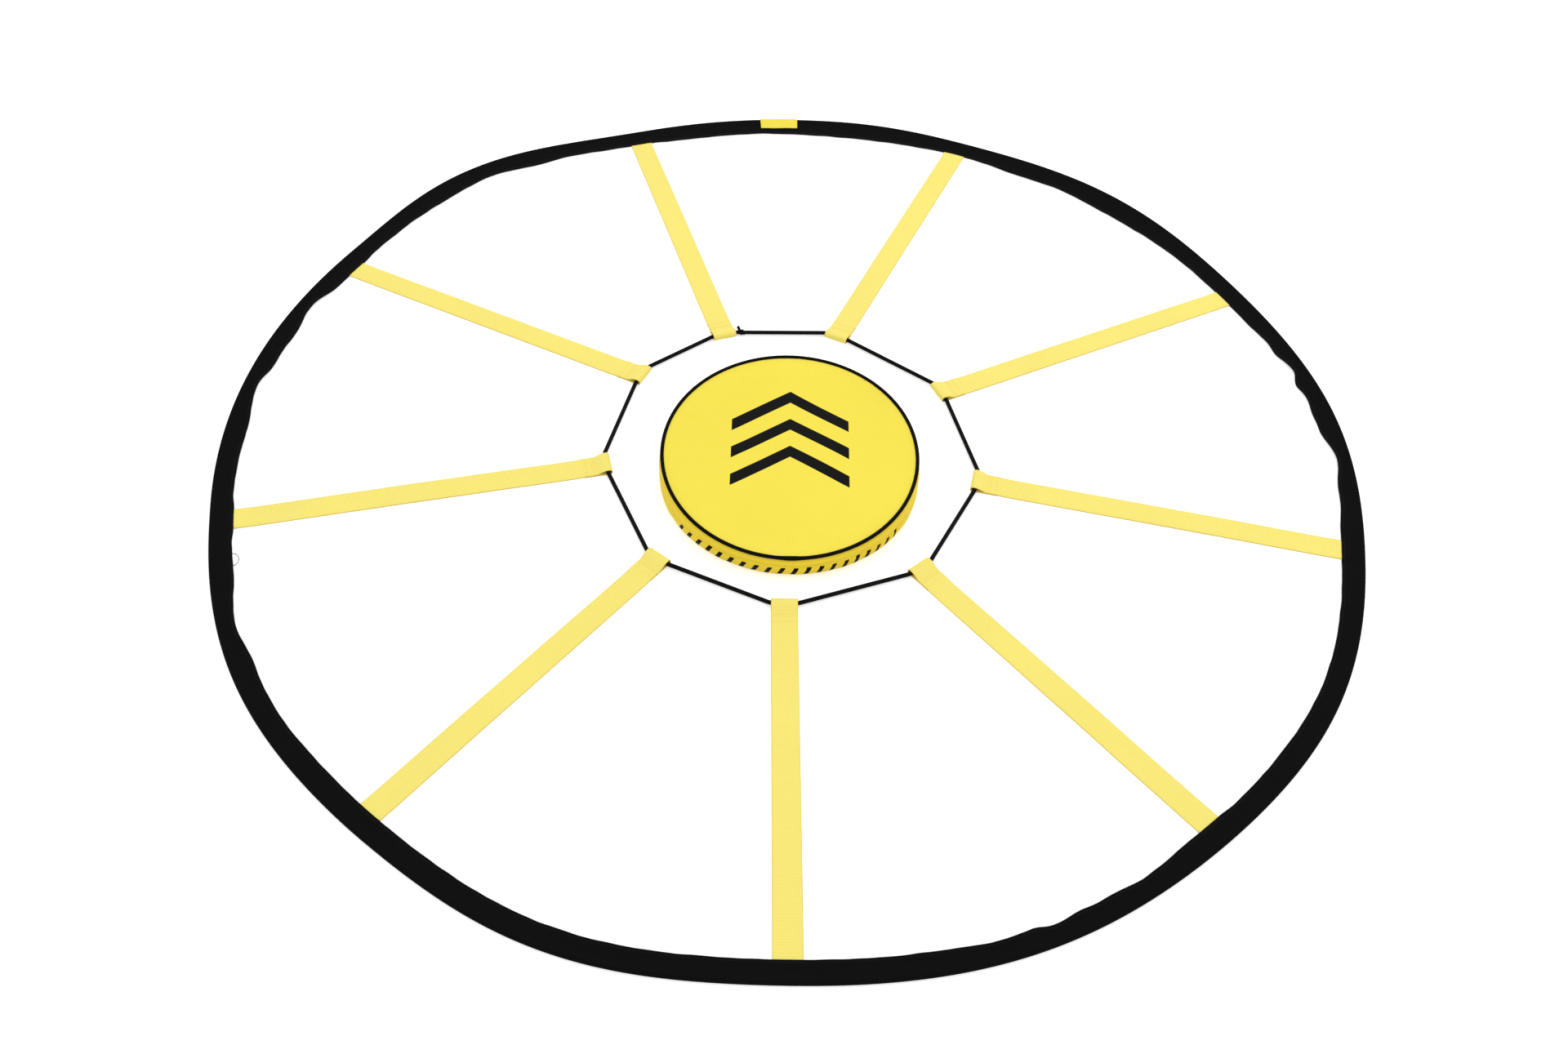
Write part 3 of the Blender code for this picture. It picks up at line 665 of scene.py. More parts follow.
# Painted shade: the wall and the flap are the bag's own cloth made a deeper yellow, for the shade on the
# bag's side.
SHADED_WALL_YELLOW = replace(BAG_YELLOW, name="Bag wall cloth with painted shade", colour=srgb(255, 225, 62))
PIPING_BLACK = Cloth(
    name="Piping cloth", slot="piping", colour=srgb(13, 12, 11), roughness=0.62, specular=0.05,
    pitch=0.0007, gap=0.6, patches=0.85, depth=0.0002, broad=60.0,
)
TAPE_BLACK = replace(
    PIPING_BLACK, name="Zip tape weave", slot="zip_tape", colour=srgb(26, 26, 28), roughness=0.8,
    specular=0.1, gap=0.55,
)
TOOTH_BLACK = Finish(name="Zip coil", slot="zip_tape", colour=srgb(24, 24, 26), roughness=0.35)
SLIDER_BLACK = Finish(
    name="Painted zip metal", slot="zip_metal", colour=srgb(30, 30, 32), roughness=0.38, metallic=0.4,
)
SPRING_STEEL = Finish(
    name="Spring steel", slot="spring_wire", colour=(0.32, 0.32, 0.33), roughness=0.35, metallic=1.0,
)
PLATED_STEEL = Finish(
    name="Plated steel", slot="ferrule", colour=(0.62, 0.62, 0.6), roughness=0.3, metallic=1.0,
)


def lofted(steps: Tuple[int, int], place: Place, closed: Tuple[bool, bool] = (False, False),
           cloth: Tuple[float, float] = (1.0, 1.0)) -> bmesh.types.BMesh:
    """Bend a flat grid into a surface.

    Args:
        steps: Faces along and across the grid.
        place: Where the point at a share along and a share across goes.
        closed: Whether the grid meets itself along, and across.
        cloth: The cloth's length and width, which the UV map carries in metres.

    Returns:
        The surface, with its doubles merged.
    """
    work = bmesh.new()
    uv = work.loops.layers.uv.new("UVMap")
    bmesh.ops.create_grid(work, x_segments=steps[0], y_segments=steps[1], size=1.0)
    for face in work.faces:
        for loop in face.loops:
            loop[uv].uv = ((loop.vert.co.x + 1) / 2 * cloth[0], (loop.vert.co.y + 1) / 2 * cloth[1])
    for vert in work.verts:
        vert.co = place((vert.co.x + 1) / 2, (vert.co.y + 1) / 2)
    if any(closed):
        bmesh.ops.remove_doubles(work, verts=work.verts, dist=HAIR)
    return work


def finish_solid(work: bmesh.types.BMesh, caps: bool = False) -> bmesh.types.BMesh:
    """Close a surface's ends where asked, and turn its faces outwards.

    Args:
        work: The surface.
        caps: Whether its open ends are closed.

    Returns:
        The same surface.
    """
    if caps:
        ends = [edge for edge in work.edges if edge.is_boundary]
        bmesh.ops.holes_fill(work, edges=ends, sides=0)
    bmesh.ops.recalc_face_normals(work, faces=work.faces)
    return work


def thickened(work: bmesh.types.BMesh, thick: float, middle: Optional[Vector] = None) -> bmesh.types.BMesh:
    """Give a sheet its thickness, inwards where a point inside is given.

    Args:
        work: The sheet.
        thick: Its thickness.
        middle: The point that its faces are turned away from.

    Returns:
        The same sheet, now a solid.
    """
    bmesh.ops.recalc_face_normals(work, faces=work.faces)
    if middle is not None:
        face = work.faces[:][0]
        if face.normal.dot(face.calc_center_median() - middle) < 0:
            bmesh.ops.reverse_faces(work, faces=work.faces)
    bmesh.ops.solidify(work, geom=work.faces[:], thickness=thick)
    return work


def running_lengths(line: Sequence[Sequence[float]]) -> List[float]:
    """Give the length of a line up to each of its points.

    Args:
        line: The points.

    Returns:
        The lengths, the first of which is 0.
    """
    lengths = [0.0]
    for before, after in zip(line, line[1:]):
        lengths.append(lengths[-1] + math.dist(before, after))
    return lengths


def laid(spot: Vector, along: Vector, above: Vector = UP) -> Matrix:
    """Give the matrix that lays a stitch at a spot, from its long way and its upper side."""
    turn = Matrix((along, above.cross(along), above)).transposed().to_4x4()
    return Matrix.Translation(spot) @ turn


def linked(name: str, data: bpy.types.ID) -> bpy.types.Object:
    """Make an object of some data and put it into the scene."""
    made = bpy.data.objects.new(name, data)
    bpy.context.scene.collection.objects.link(made)
    return made


def rounded(work: bmesh.types.BMesh, edges: List[bmesh.types.BMEdge], width: float, steps: int,
            clamp: bool = False) -> None:
    """Round some of a solid's edges.

    Args:
        work: The solid.
        edges: The edges.
        width: How far the rounding reaches from each edge.
        steps: How many faces it has across.
        clamp: Whether it stops where two roundings meet.
    """
    bmesh.ops.bevel(
        work, geom=edges, offset=width, segments=steps, affect="EDGES", profile=0.5, material=-1,
        clamp_overlap=clamp,
    )


def joined(parts: Sequence[bmesh.types.BMesh]) -> bmesh.types.BMesh:
    """Put several surfaces into the first one.

    Args:
        parts: The surfaces, all but the first of which are used up.

    Returns:
        The first surface.
    """
    first = parts[0]
    for part in parts[1:]:
        mesh = bpy.data.meshes.new("part")
        part.to_mesh(mesh)
        part.free()
        first.from_mesh(mesh)
        bpy.data.meshes.remove(mesh)
    return first


@dataclass
class Piece:
    """One finished piece of the ladder: its mesh, its finish and what carries it."""

    name: str
    finish: Finish
    body: str = ""
    nodes: Tuple[str, ...] = ()
    crease: float = PLAIN

    def add(self, work: bmesh.types.BMesh) -> bpy.types.Object:
        """Make the object from its mesh work, dress it and let it ride.

        Args:
            work: The mesh work, which is freed.

        Returns:
            The object.
        """
        mesh = bpy.data.meshes.new(self.name)
        work.to_mesh(mesh)
        work.free()
        mesh.materials.append(self.finish.material())
        mesh.shade_smooth()
        mesh.set_sharp_from_angle(angle=math.radians(self.crease))
        made = linked(self.name, mesh)
        if self.nodes:
            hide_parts(*self.nodes)
        if self.body:
            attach(made, self.body)
        LOG.info("%s: %d faces on %s", self.name, len(mesh.polygons), self.body or "two bodies")
        return made


class Outline:
    """The line of the hoop's wire in plan, read from the packed wire and smoothed."""

    SAMPLES = 1440
    SAME_STATION = 0.8
    SOFTNESS = 1.3

    def __init__(self, nodes: Dict[str, bpy.types.Object]) -> None:
        """Read the wire's stations and the sleeve's width.

        Args:
            nodes: The packed nodes.
        """
        points = np.array([vert.co for vert in nodes["hoop_wire"].data.vertices])
        angles = np.degrees(np.arctan2(points[:, 1], points[:, 0])) % TURN
        radii = np.hypot(points[:, 0], points[:, 1])
        order = np.argsort(angles)
        breaks = np.flatnonzero(np.diff(angles[order]) > self.SAME_STATION) + 1
        stations = np.split(order, breaks)
        middles = [angles[group].mean() for group in stations]
        centres = [(radii[group].min() + radii[group].max()) / 2 for group in stations]
        self.angles = np.arange(self.SAMPLES) * TURN / self.SAMPLES
        table = np.interp(self.angles, middles, centres, period=TURN)
        kernel = np.exp(-((np.minimum(self.angles, TURN - self.angles) / self.SOFTNESS) ** 2) / 2)
        kernel /= kernel.sum()
        self.radii = np.fft.irfft(np.fft.rfft(table) * np.fft.rfft(kernel), self.SAMPLES)
        self.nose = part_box("hoop_sleeve")[1].z / 2
        self.wire = (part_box("hoop_wire")[1].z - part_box("hoop_wire")[0].z) / 2

    def point(self, angle: float) -> Vector:
        """Give the wire's centre in plan at an angle.

        Args:
            angle: Where round the hoop, in degrees.

        Returns:
            The point on the wire's middle line, at floor level.
        """
        place = angle % TURN / TURN * self.SAMPLES
        low = int(place)
        share = place - low
        radius = self.radii[low % self.SAMPLES] * (1 - share) + self.radii[(low + 1) % self.SAMPLES] * share
        return polar(float(radius), angle)

    def outward(self, angle: float) -> Vector:
        """Give the level direction square to the wire, away from the middle."""
        along = self.point(angle + 0.5) - self.point(angle - 0.5)
        return Vector((along.y, -along.x, 0.0)).normalized()

    def length(self) -> float:
        """Give the length of the wire's line."""
        x = self.radii * np.cos(np.radians(self.angles))
        y = self.radii * np.sin(np.radians(self.angles))
        return float(np.hypot(np.diff(x, append=x[0]), np.diff(y, append=y[0])).sum())


@dataclass(frozen=True)
class Station:
    """What the sleeve is like at one angle round the hoop."""

    angle: float
    spot: Vector
    outward: Vector
    drawn: float
    lift: float
    rise: float
    ridge: float
    strap: float

    def place(self, x: float, z: float) -> Vector:
        """Put a point of the section, outward of the wire and above the floor, into the row frame."""
        return self.spot + self.outward * x + UP * z


@dataclass
class Hoop:
    """The hoop: its wire, and the fabric sleeve with its sewn hem."""

    outline: Outline
    seams: List[float]
    # The folded strip: its hem's distance from the wire, its width laid flat, and the hem's own fold.
    reach: float = 0.03015
    cloth_wide: float = 0.072
    hem_height: float = 0.0034
    hem_fold: float = 0.0015
    # The section: its shares under the wire, round the nose and over it, and where the nose ends.
    rings: int = 1800
    under: float = 0.30
    wrap: float = 0.22
    over: float = 0.38
    wrap_angle: float = 98.0
    # The seam along the hem and the thread over its edge.
    stitch_pitch: float = 0.0036
    stitch_length: float = 0.0028
    stitch_radius: float = 0.0003
    stitch_inset: float = 0.0042
    edge_pitch: float = 0.0026
    edge_stitch: Tuple[float, float, float] = (0.0014, 0.00042, 0.00032)
    # The hem's waves, of which flutter is in mm. It lies flat within spoke_clear degrees of a spoke.
    spoke_clear: float = 1.4
    spoke_ease: float = 2.0
    pucker_rise: float = 0.22
    crinkle: float = 0.0003
    crinkle_gain: float = 0.06
    sag: float = 0.0011
    ditch: float = 0.0005
    ditch_half: float = 0.0017
    wave: float = 0.0004
    flutter: float = 0.45
    # The raised end of the sleeve's overlap, in degrees but for its rise.
    overlap_angle: float = 60.5
    overlap_rise: float = 0.0007
    overlap_start: float = 0.12
    overlap_reach: float = 2.2
    overlap_fade: float = 0.6
    # The sewn-in end of each strap, which shows through the cloth.
    strap_inside: float = 0.011
    strap_half: float = 1.29
    strap_ease: float = 0.15
    strap_rise: float = 0.0006
    strap_slope: float = 0.0015
    # Each gather of the hem: its angle, its draw outwards in mm, and its degrees before and after.
    gathers: Tuple[Tuple[float, float, float, float], ...] = (
        (1.6, 11.0, 5.0, 4.2), (10.7, 4.0, 2.6, 2.2), (15.2, 10.0, 2.4, 3.8), (20.2, 4.0, 3.2, 3.6),
        (48.0, -6.5, 13.0, 10.0), (60.6, -5.8, 7.0, 7.0), (86.0, -7.0, 20.0, 16.0), (102.0, -5.0, 10.0, 11.0),
        (123.2, -7.0, 5.2, 5.4), (135.5, -4.5, 7.0, 6.4), (147.0, 2.4, 7.5, 7.0), (158.6, 10.0, 4.0, 6.2),
        (166.5, 3.2, 4.0, 4.5), (172.2, 10.5, 4.4, 6.4), (189.0, 2.4, 16.0, 13.0), (204.6, 8.2, 6.6, 5.2),
        (216.0, 2.6, 9.0, 9.0), (287.0, 3.6, 4.5, 5.5), (292.4, 6.6, 2.0, 3.2), (297.0, 3.2, 4.0, 4.0),
        (301.6, 5.5, 3.8, 6.5), (314.0, 2.0, 7.0, 10.0), (332.0, 2.9, 18.0, 20.0), (356.0, 3.6, 4.6, 4.6),
    )
    # Where the hoop stands off the floor: the angle, the degrees to each side, and the height in mm.
    lifts: Tuple[Tuple[float, float, float], ...] = ((49.0, 22.0, 5.0), (79.0, 13.0, 2.4))
    known: Dict[float, Station] = field(default_factory=dict)

    def from_spoke(self, angle: float) -> float:
        """Give how many degrees the nearest spoke is away."""
        return min(abs(apart(angle, seam)) for seam in self.seams)

    def gather(self, angle: float) -> float:
        """Give how far the hem is drawn outwards at an angle, in millimetres.

        Args:
            angle: Where round the hoop, in degrees.

        Returns:
            The draw, in millimetres.
        """
        drawn = 0.0
        for middle, depth, before, after in self.gathers:
            off = apart(angle, middle)
            drawn += depth * bump(off, before if off < 0 else after)
        return drawn + self.flutter * ripple(angle, ((61, 0.35), (97, 0.3), (143, 0.2), (211, 0.15)), 1.7)

    def station(self, angle: float) -> Station:
        """Give what the sleeve is like at an angle, worked out once.

        Args:
            angle: Where round the hoop, in degrees.

        Returns:
            The station.
        """
        if angle not in self.known:
            nearest = self.from_spoke(angle)
            clear = smooth_step((nearest - self.spoke_clear) / self.spoke_ease)
            drawn = self.gather(angle) * clear * MILLIMETRE
            lift = sum(height * bump(apart(angle, middle), half) for middle, half, height in self.lifts)
            waves = self.wave * (1 + ripple(angle, ((83, 0.6), (131, 0.4)), 3.1))
            off = apart(angle, self.overlap_angle)
            started = smooth_step((off + self.overlap_start) / self.overlap_start)
            ended = smooth_step((off - self.overlap_reach) / self.overlap_fade)
            strap = self.strap_rise * (1 - smooth_step((nearest - self.strap_half) / self.strap_ease))
            self.known[angle] = Station(
                angle=angle, spot=self.outline.point(angle), outward=self.outline.outward(angle),
                drawn=drawn, lift=lift * MILLIMETRE, rise=self.pucker_rise * max(drawn, 0.0) + waves * clear,
                ridge=self.overlap_rise * started * (1 - ended), strap=strap,
            )
        return self.known[angle]

    def section(self, here: Station, share: float) -> Tuple[float, float]:
        """Give a point of the sleeve's section.

        Args:
            here: The station round the hoop.
            share: How far round the section, from the hem's underside out round the nose and back.

        Returns:
            How far outward of the wire's centre and above the floor the point is.
        """
        hem = here.drawn - self.reach
        if share < self.under:
            part = share / self.under
            x = (hem + self.hem_fold) * (1 - part)
            return x, here.rise * (1 - part) ** 3 + here.lift * smooth_step(part) + FLOOR_GAP
        if share < self.under + self.wrap:
            return self.nose_point(here, -90 + (90 + self.wrap_angle) * (share - self.under) / self.wrap)
        if share < self.under + self.wrap + self.over:
            part = (share - self.under - self.wrap) / self.over
            start_x, start_z = self.nose_point(here, self.wrap_angle)
            x = start_x + (hem + self.hem_fold - start_x) * part
            straight = start_z + (self.hem_height + here.rise - start_z) * part
            sag = self.sag * math.sin(math.pi * part) * (1 - part * 0.4)
            ditch = self.ditch * bump(x - hem - self.stitch_inset, self.ditch_half)
            crinkle = ripple(here.angle + 6 * part, ((73, 0.4), (117, 0.35), (189, 0.25)), 0.9)
            strength = self.crinkle + self.crinkle_gain * max(here.drawn, 0.0)
            strength *= math.sin(math.pi * min(part * 1.15, 1.0))
            past = smooth_step((x - hem - self.strap_inside) / self.strap_slope)
            over_strap = here.strap * (1 - past) * min(1 - part, 0.1) * 10
            return x, straight - sag - ditch + crinkle * strength + here.ridge + over_strap
        part = (share - self.under - self.wrap - self.over) / (1 - self.under - self.wrap - self.over)
        turn = math.radians(90 + 180 * part)
        half = (self.hem_height - FLOOR_GAP) / 2
        z = here.rise + FLOOR_GAP + half * (1 + math.sin(turn)) + here.ridge * (1 - part)
        return hem + self.hem_fold * (1 + math.cos(turn)), z

    def nose_point(self, here: Station, angle: float, proud: float = 0.0) -> Tuple[float, float]:
        """Give a point of the rounded outer edge, at an angle up from level."""
        turn = math.radians(angle)
        nose = self.outline.nose
        return (nose + proud) * math.cos(turn), nose + here.lift + (nose + proud) * math.sin(turn)

    def top_height(self, here: Station, x: float) -> float:
        """Give the height of the sleeve's upper side at a distance outward of the wire."""
        start = self.nose_point(here, self.wrap_angle)[0]
        part = (x - start) / (here.drawn - self.reach + self.hem_fold - start)
        return self.section(here, self.under + self.wrap + self.over * min(max(part, 0.0), 0.999))[1]

    def build_sleeve(self) -> None:
        """Make the sleeve with its gathered hem."""

        def spot(along: float, across: float) -> Vector:
            here = self.station(along * TURN)
            return here.place(*self.section(here, across))

        work = lofted((self.rings, 40), spot, (True, True), (self.outline.length(), self.cloth_wide))
        Piece("sleeve_cloth", SLEEVE_BLACK, "hoop", ("hoop_sleeve",), ROUND).add(finish_solid(work))

    def build_stitches(self) -> None:
        """Make the row of stitches along the hem."""
        count = int(self.outline.length() / self.stitch_pitch)
        places = []
        for i in range(count):
            here = self.station(TURN * i / count)
            x = here.drawn - self.reach + self.stitch_inset
            spot = here.place(x, self.top_height(here, x) + self.stitch_radius * 0.3)
            places.append(laid(spot, UP.cross(here.outward)))
        size = (self.stitch_length / 2, self.stitch_radius, self.stitch_radius)
        Piece("hem_stitches", THREAD_BLACK, "hoop", (), ROUND).add(stitches(places, size))

    def build_edging(self) -> None:
        """Make the thread that whips the hem's inner edge."""
        count = int(self.outline.length() / self.edge_pitch)
        lean = math.sqrt(0.5)
        places = []
        for i in range(count):
            here = self.station(TURN * i / count)
            x = here.drawn - self.reach + self.hem_fold * (1 - lean)
            z = here.rise + FLOOR_GAP + (self.hem_height - FLOOR_GAP) / 2 * (1 + lean)
            along = -(here.outward + UP) * lean
            places.append(laid(here.place(x, z), along, (UP - here.outward) * lean))
        work = stitches(places, self.edge_stitch)
        Piece("hem_edging", EDGING_THREAD, "hoop", (), ROUND).add(work)

    def build_wire(self) -> None:
        """Make the spring wire along the sleeve's nose, with its ends in the ferrule."""
        radius = self.outline.wire

        def spot(along: float, across: float) -> Vector:
            here = self.station(along * TURN)
            turn = across * math.tau
            rise = self.outline.nose + here.lift + radius * math.sin(turn)
            return here.place(radius * math.cos(turn), rise)

        work = lofted((720, 12), spot, (True, True), (self.outline.length(), math.tau * radius))
        Piece("spring_wire", SPRING_STEEL, "hoop", ("hoop_wire",)).add(finish_solid(work))

    def build(self) -> None:
        """Make the sleeve, its sewing and the wire."""
        self.build_sleeve()
        self.build_stitches()
        self.build_edging()
        self.build_wire()


@dataclass
class Label:
    """The woven label, folded over the hoop's outer edge and sewn down."""

    hoop: Hoop
    angle: float = 91.9
    length: float = 0.069
    wide: float = 0.036
    thick: float = 0.0006
    reach: float = 0.0215
    fold: float = -50.0
    wrapped: float = 0.4
    margin: float = 0.13
    stitch: Tuple[float, float, float] = (0.0009, 0.0002, 0.00018)
    stitch_rise: float = 0.0009

    @property
    def half(self) -> float:
        """Give half the label's length, in degrees round the hoop."""
        return math.degrees(self.length / 2 / self.hoop.outline.point(self.angle).length)

    def build(self) -> None:
        """Make the label: round the nose first, then in along the sleeve's upper side."""
        hoop = self.hoop
        half = self.half
        proud = self.thick + CLEARANCE

        def spot(along: float, across: float) -> Vector:
            here = hoop.station(self.angle + half * (2 * along - 1))
            if across < self.wrapped:
                turn = self.fold + (hoop.wrap_angle - self.fold) * across / self.wrapped
                return here.place(*hoop.nose_point(here, turn, proud))
            part = (across - self.wrapped) / (1 - self.wrapped)
            x = hoop.nose_point(here, hoop.wrap_angle)[0] - self.reach * part
            return here.place(x, hoop.top_height(here, x) + proud)

        work = thickened(lofted((48, 26), spot, cloth=(self.length, self.wide)), self.thick)
        Piece("woven_label", LABEL_YELLOW, "hoop", ("hoop_label",), FOLDED).add(finish_solid(work))
        self.build_stitches(half)

    def build_stitches(self, half: float) -> None:
        """Make the stitches down the label's two ends and along its inner edge.

        Args:
            half: Half the label's length, in degrees.
        """
        hoop = self.hoop
        start = hoop.nose_point(hoop.station(self.angle), hoop.wrap_angle)[0]
        rows = []
        for end in (self.margin - half, half - self.margin):
            rows += [(end, start - self.reach * i / 9, True) for i in range(9)]
        rows += [(half * (i - 9) / 10, start - self.reach * 0.93, False) for i in range(19)]
        places = []
        for off, x, inward in rows:
            here = hoop.station(self.angle + off)
            spot = here.place(x, hoop.top_height(here, x) + self.thick + self.stitch_rise)
            places.append(laid(spot, here.outward if inward else UP.cross(here.outward)))
        work = stitches(places, self.stitch)
        Piece("label_stitches", LABEL_THREAD, "hoop", (), ROUND).add(work)


@dataclass
class LooseThread:
    """The short end of sewing thread that curls out from under the hem."""

    hoop: Hoop
    angle: float = 196.4
    radius: float = 0.00045
    reach: float = 0.0092
    half: float = 0.0117
    tuck: float = 0.001
    off_floor: float = 0.0001
    steps: int = 32

    def build(self) -> None:
        """Make the thread as half an oval on the floor."""
        here = self.hoop.station(self.angle)
        along = UP.cross(here.outward) * self.half
        hem = here.place(self.tuck - self.hoop.reach, self.radius + self.off_floor)
        points = []
        for i in range(self.steps + 1):
            turn = math.pi * i / self.steps
            reach = self.reach * math.sin(turn) - self.tuck
            points.append(hem + along * math.cos(turn) - here.outward * reach)
        Piece("loose_thread", THREAD_BLACK, "hoop").add(swept(points, self.radius, 8))


def in_batches(places: Sequence[Matrix], make: Callable, batch: int = 40,
               **settings: object) -> List[bmesh.types.BMesh]:
    """Make one small form at each place, a few to a mesh, which keeps the work quick.

    Args:
        places: The matrix of each form.
        make: The bmesh operator that makes one.
        batch: How many go into a mesh.
        settings: What the operator is told besides the matrix.

    Returns:
        The meshes.
    """
    parts = []
    for start in range(0, len(places), batch):
        part = bmesh.new()
        for place in places[start:start + batch]:
            make(part, matrix=place, **settings)
        parts.append(part)
    return parts


def stitches(places: Sequence[Matrix], size: Tuple[float, float, float]) -> bmesh.types.BMesh:
    """Make a row of stitches, each a small long bead.

    Args:
        places: Where each stitch lies, with its long way along X.
        size: Half its length, width and height.

    Returns:
        All the stitches.
    """
    stretch = Matrix.Diagonal((*size, 1.0)) @ Matrix.Rotation(math.pi / 2, 4, "Y")
    beads = [place @ stretch for place in places]
    return joined(in_batches(beads, bmesh.ops.create_uvsphere, u_segments=6, v_segments=5, radius=1.0))


def swept(points: Sequence[Vector], radius: float, sides: int) -> bmesh.types.BMesh:
    """Sweep a round section along an open line and close its ends.

    Args:
        points: The line.
        radius: The section's radius.
        sides: How many sides the section has.

    Returns:
        The closed solid.
    """
    count = len(points) - 1

    def spot(along: float, around: float) -> Vector:
        index = int(round(along * count))
        ahead = (points[min(index + 1, count)] - points[max(index - 1, 0)]).normalized()
        side = ahead.cross(Vector((0.31, 0.17, 0.93))).normalized()
        turn = around * math.tau
        return points[index] + (side * math.cos(turn) + side.cross(ahead) * math.sin(turn)) * radius

    cloth = (running_lengths(points)[-1], math.tau * radius)
    return finish_solid(lofted((count, sides), spot, (False, True), cloth), True)


@dataclass
class Spoke:
    """One webbing spoke: it leaves the hem, lies on the floor, and its end is sewn round the cord."""

    number: int
    seam: Vector
    inward: Vector
    length: float
    cord_height: float
    cord_radius: float
    width: float = 0.0381
    thick: float = 0.0014
    play: float = 0.0017
    ramp: float = 0.018
    overlap: float = 0.018
    tuck: float = 0.004
    settle: float = 0.03
    ride: float = 0.012
    wave: float = 0.0006
    grip: float = 0.0004
    stitch: Tuple[float, float, float] = (0.0014, 0.00035, 0.00032)
    stitch_start: float = 0.0015
    stitch_rows: Tuple[float, float, float] = (0.0, 0.0035, 0.0125)
    stitches_in_row: int = 11
    steps_across: float = 11.6

    @property
    def across(self) -> Vector:
        """Give the level direction across the strap."""
        return self.inward.cross(UP)

    def route(self) -> List[Tuple[float, float]]:
        """Give the webbing's middle line: along the spoke and up, from the hem to the tail's end.

        Returns:
            Points along the strap, each with its height.
        """
        half = self.thick / 2
        eye = self.cord_radius + self.grip + half
        fold = self.length + self.play
        rest = half + CLEARANCE
        line = [(-self.tuck, self.seam.z), (0.0, self.seam.z)]
        steps = 60
        start = self.length - self.ramp - self.overlap
        for i in range(1, steps + 1):
            share = i / steps
            x = start * share
            settle = smooth_step(x / self.settle)
            ride = self.thick * smooth_step((x - start + self.ride) / self.ride)
            phase = share * 300 + self.number * 47
            waves = ripple(phase, ((1, 0.5), (2.7, 0.3), (4.3, 0.2)), self.number * 1.3)
            wave = self.wave * (1 + waves)
            calm = bump(share - 0.5, 0.55)
            line.append((x, self.seam.z * (1 - settle) + (rest + wave * calm) * settle + ride))
        stacked = rest + self.thick
        line.append((self.length - self.ramp, stacked))
        crest = self.cord_height + eye
        for i in range(1, 11):
            share = i / 10
            rise = smooth_step(share) * 0.45 + math.sin(math.pi / 2 * share) * 0.55
            line.append((self.length - self.ramp * (1 - share), stacked + (crest - stacked) * rise))
        for i in range(0, 17):
            turn = math.radians(90 - 180 * i / 16)
            line.append((fold + eye * math.cos(turn), self.cord_height + eye * math.sin(turn)))
        low = self.cord_height - eye
        for i in range(1, 9):
            share = i / 8
            x = fold - (self.ramp + self.overlap + self.play) * share
            line.append((x, low + (rest - low) * smooth_step(share * 2.5)))
        return line

    def build(self) -> None:
        """Make the strap and the thread that closes its loop."""
        line = self.route()
        lengths = running_lengths(line)
        outline = self.outline_points()
        steps = len(line) - 1

        def spot(along: float, around: float) -> Vector:
            index = min(int(round(along * steps)), steps)
            before = line[max(index - 1, 0)]
            after = line[min(index + 1, steps)]
            ahead = Vector((after[0] - before[0], after[1] - before[1])).normalized()
            normal = Vector((-ahead.y, ahead.x))
            side, out = outline[int(round(around * (len(outline) - 1)))]
            x = line[index][0] + normal.x * out
            z = line[index][1] + normal.y * out
            return self.seam.xy.to_3d() + self.inward * x + self.across * side + UP * z

        work = lofted((steps, len(outline) - 1), spot, (False, True))
        self.lay_uv(work, lengths, outline)
        name = f"webbing_strap_{self.number}"
        nodes = (f"spoke_strap_{self.number}",)
        Piece(name, WEBBING_YELLOW, f"spoke_{self.number}", nodes, FOLDED).add(finish_solid(work, True))
        LOG.info("%s is %.3f m of webbing", name, lengths[-1])
        self.build_stitches()

    def outline_points(self) -> List[Tuple[float, float]]:
        """Give the webbing's flat section with its round edges, back to its first point.

        Returns:
            Points across the strap, each with its height.
        """
        half = self.width / 2
        edge = self.thick / 2
        turns = [math.pi * i / 4 for i in (1, 2, 3)]
        rim = [(edge * math.sin(turn), edge * math.cos(turn)) for turn in turns]
        across = [-half + edge + (self.width - 2 * edge) * i / 10 for i in range(11)]
        points = [(side, edge) for side in reversed(across)]
        points += [(-half + edge - out, rise) for out, rise in rim]
        points += [(side, -edge) for side in across]
        points += [(half - edge + out, -rise) for out, rise in rim]
        return points + [points[0]]

    def lay_uv(self, work: bmesh.types.BMesh, lengths: List[float],
               outline: List[Tuple[float, float]]) -> None:
        """Give the map its length along the webbing and its place across it, in metres.

        Args:
            work: The strap.
            lengths: The length of webbing up to each step.
            outline: The section's points.
        """
        steps = len(lengths) - 1
        uv = work.loops.layers.uv["UVMap"]
        for face in work.faces:
            for loop in face.loops:
                share = loop[uv].uv
                index = min(int(round(share[0] * steps)), steps)
                side = outline[min(int(round(share[1] * (len(outline) - 1))), len(outline) - 1)][0]
                loop[uv].uv = (lengths[index], side)

    def build_stitches(self) -> None:
        """Make the rows of stitches across the strap behind its loop."""
        top = self.thick * 2 + CLEARANCE
        places = []
        for row in self.stitch_rows:
            x = self.length - self.ramp - self.stitch_start - row
            for i in range(self.stitches_in_row):
                side = self.width * (i - self.stitches_in_row // 2) / self.steps_across
                spot = self.seam.xy.to_3d() + self.inward * x + self.across * side + UP * top
                places.append(laid(spot, self.across))
        work = stitches(places, self.stitch)
        Piece(f"loop_stitches_{self.number}", THREAD_YELLOW, f"spoke_{self.number}", (), ROUND).add(work)


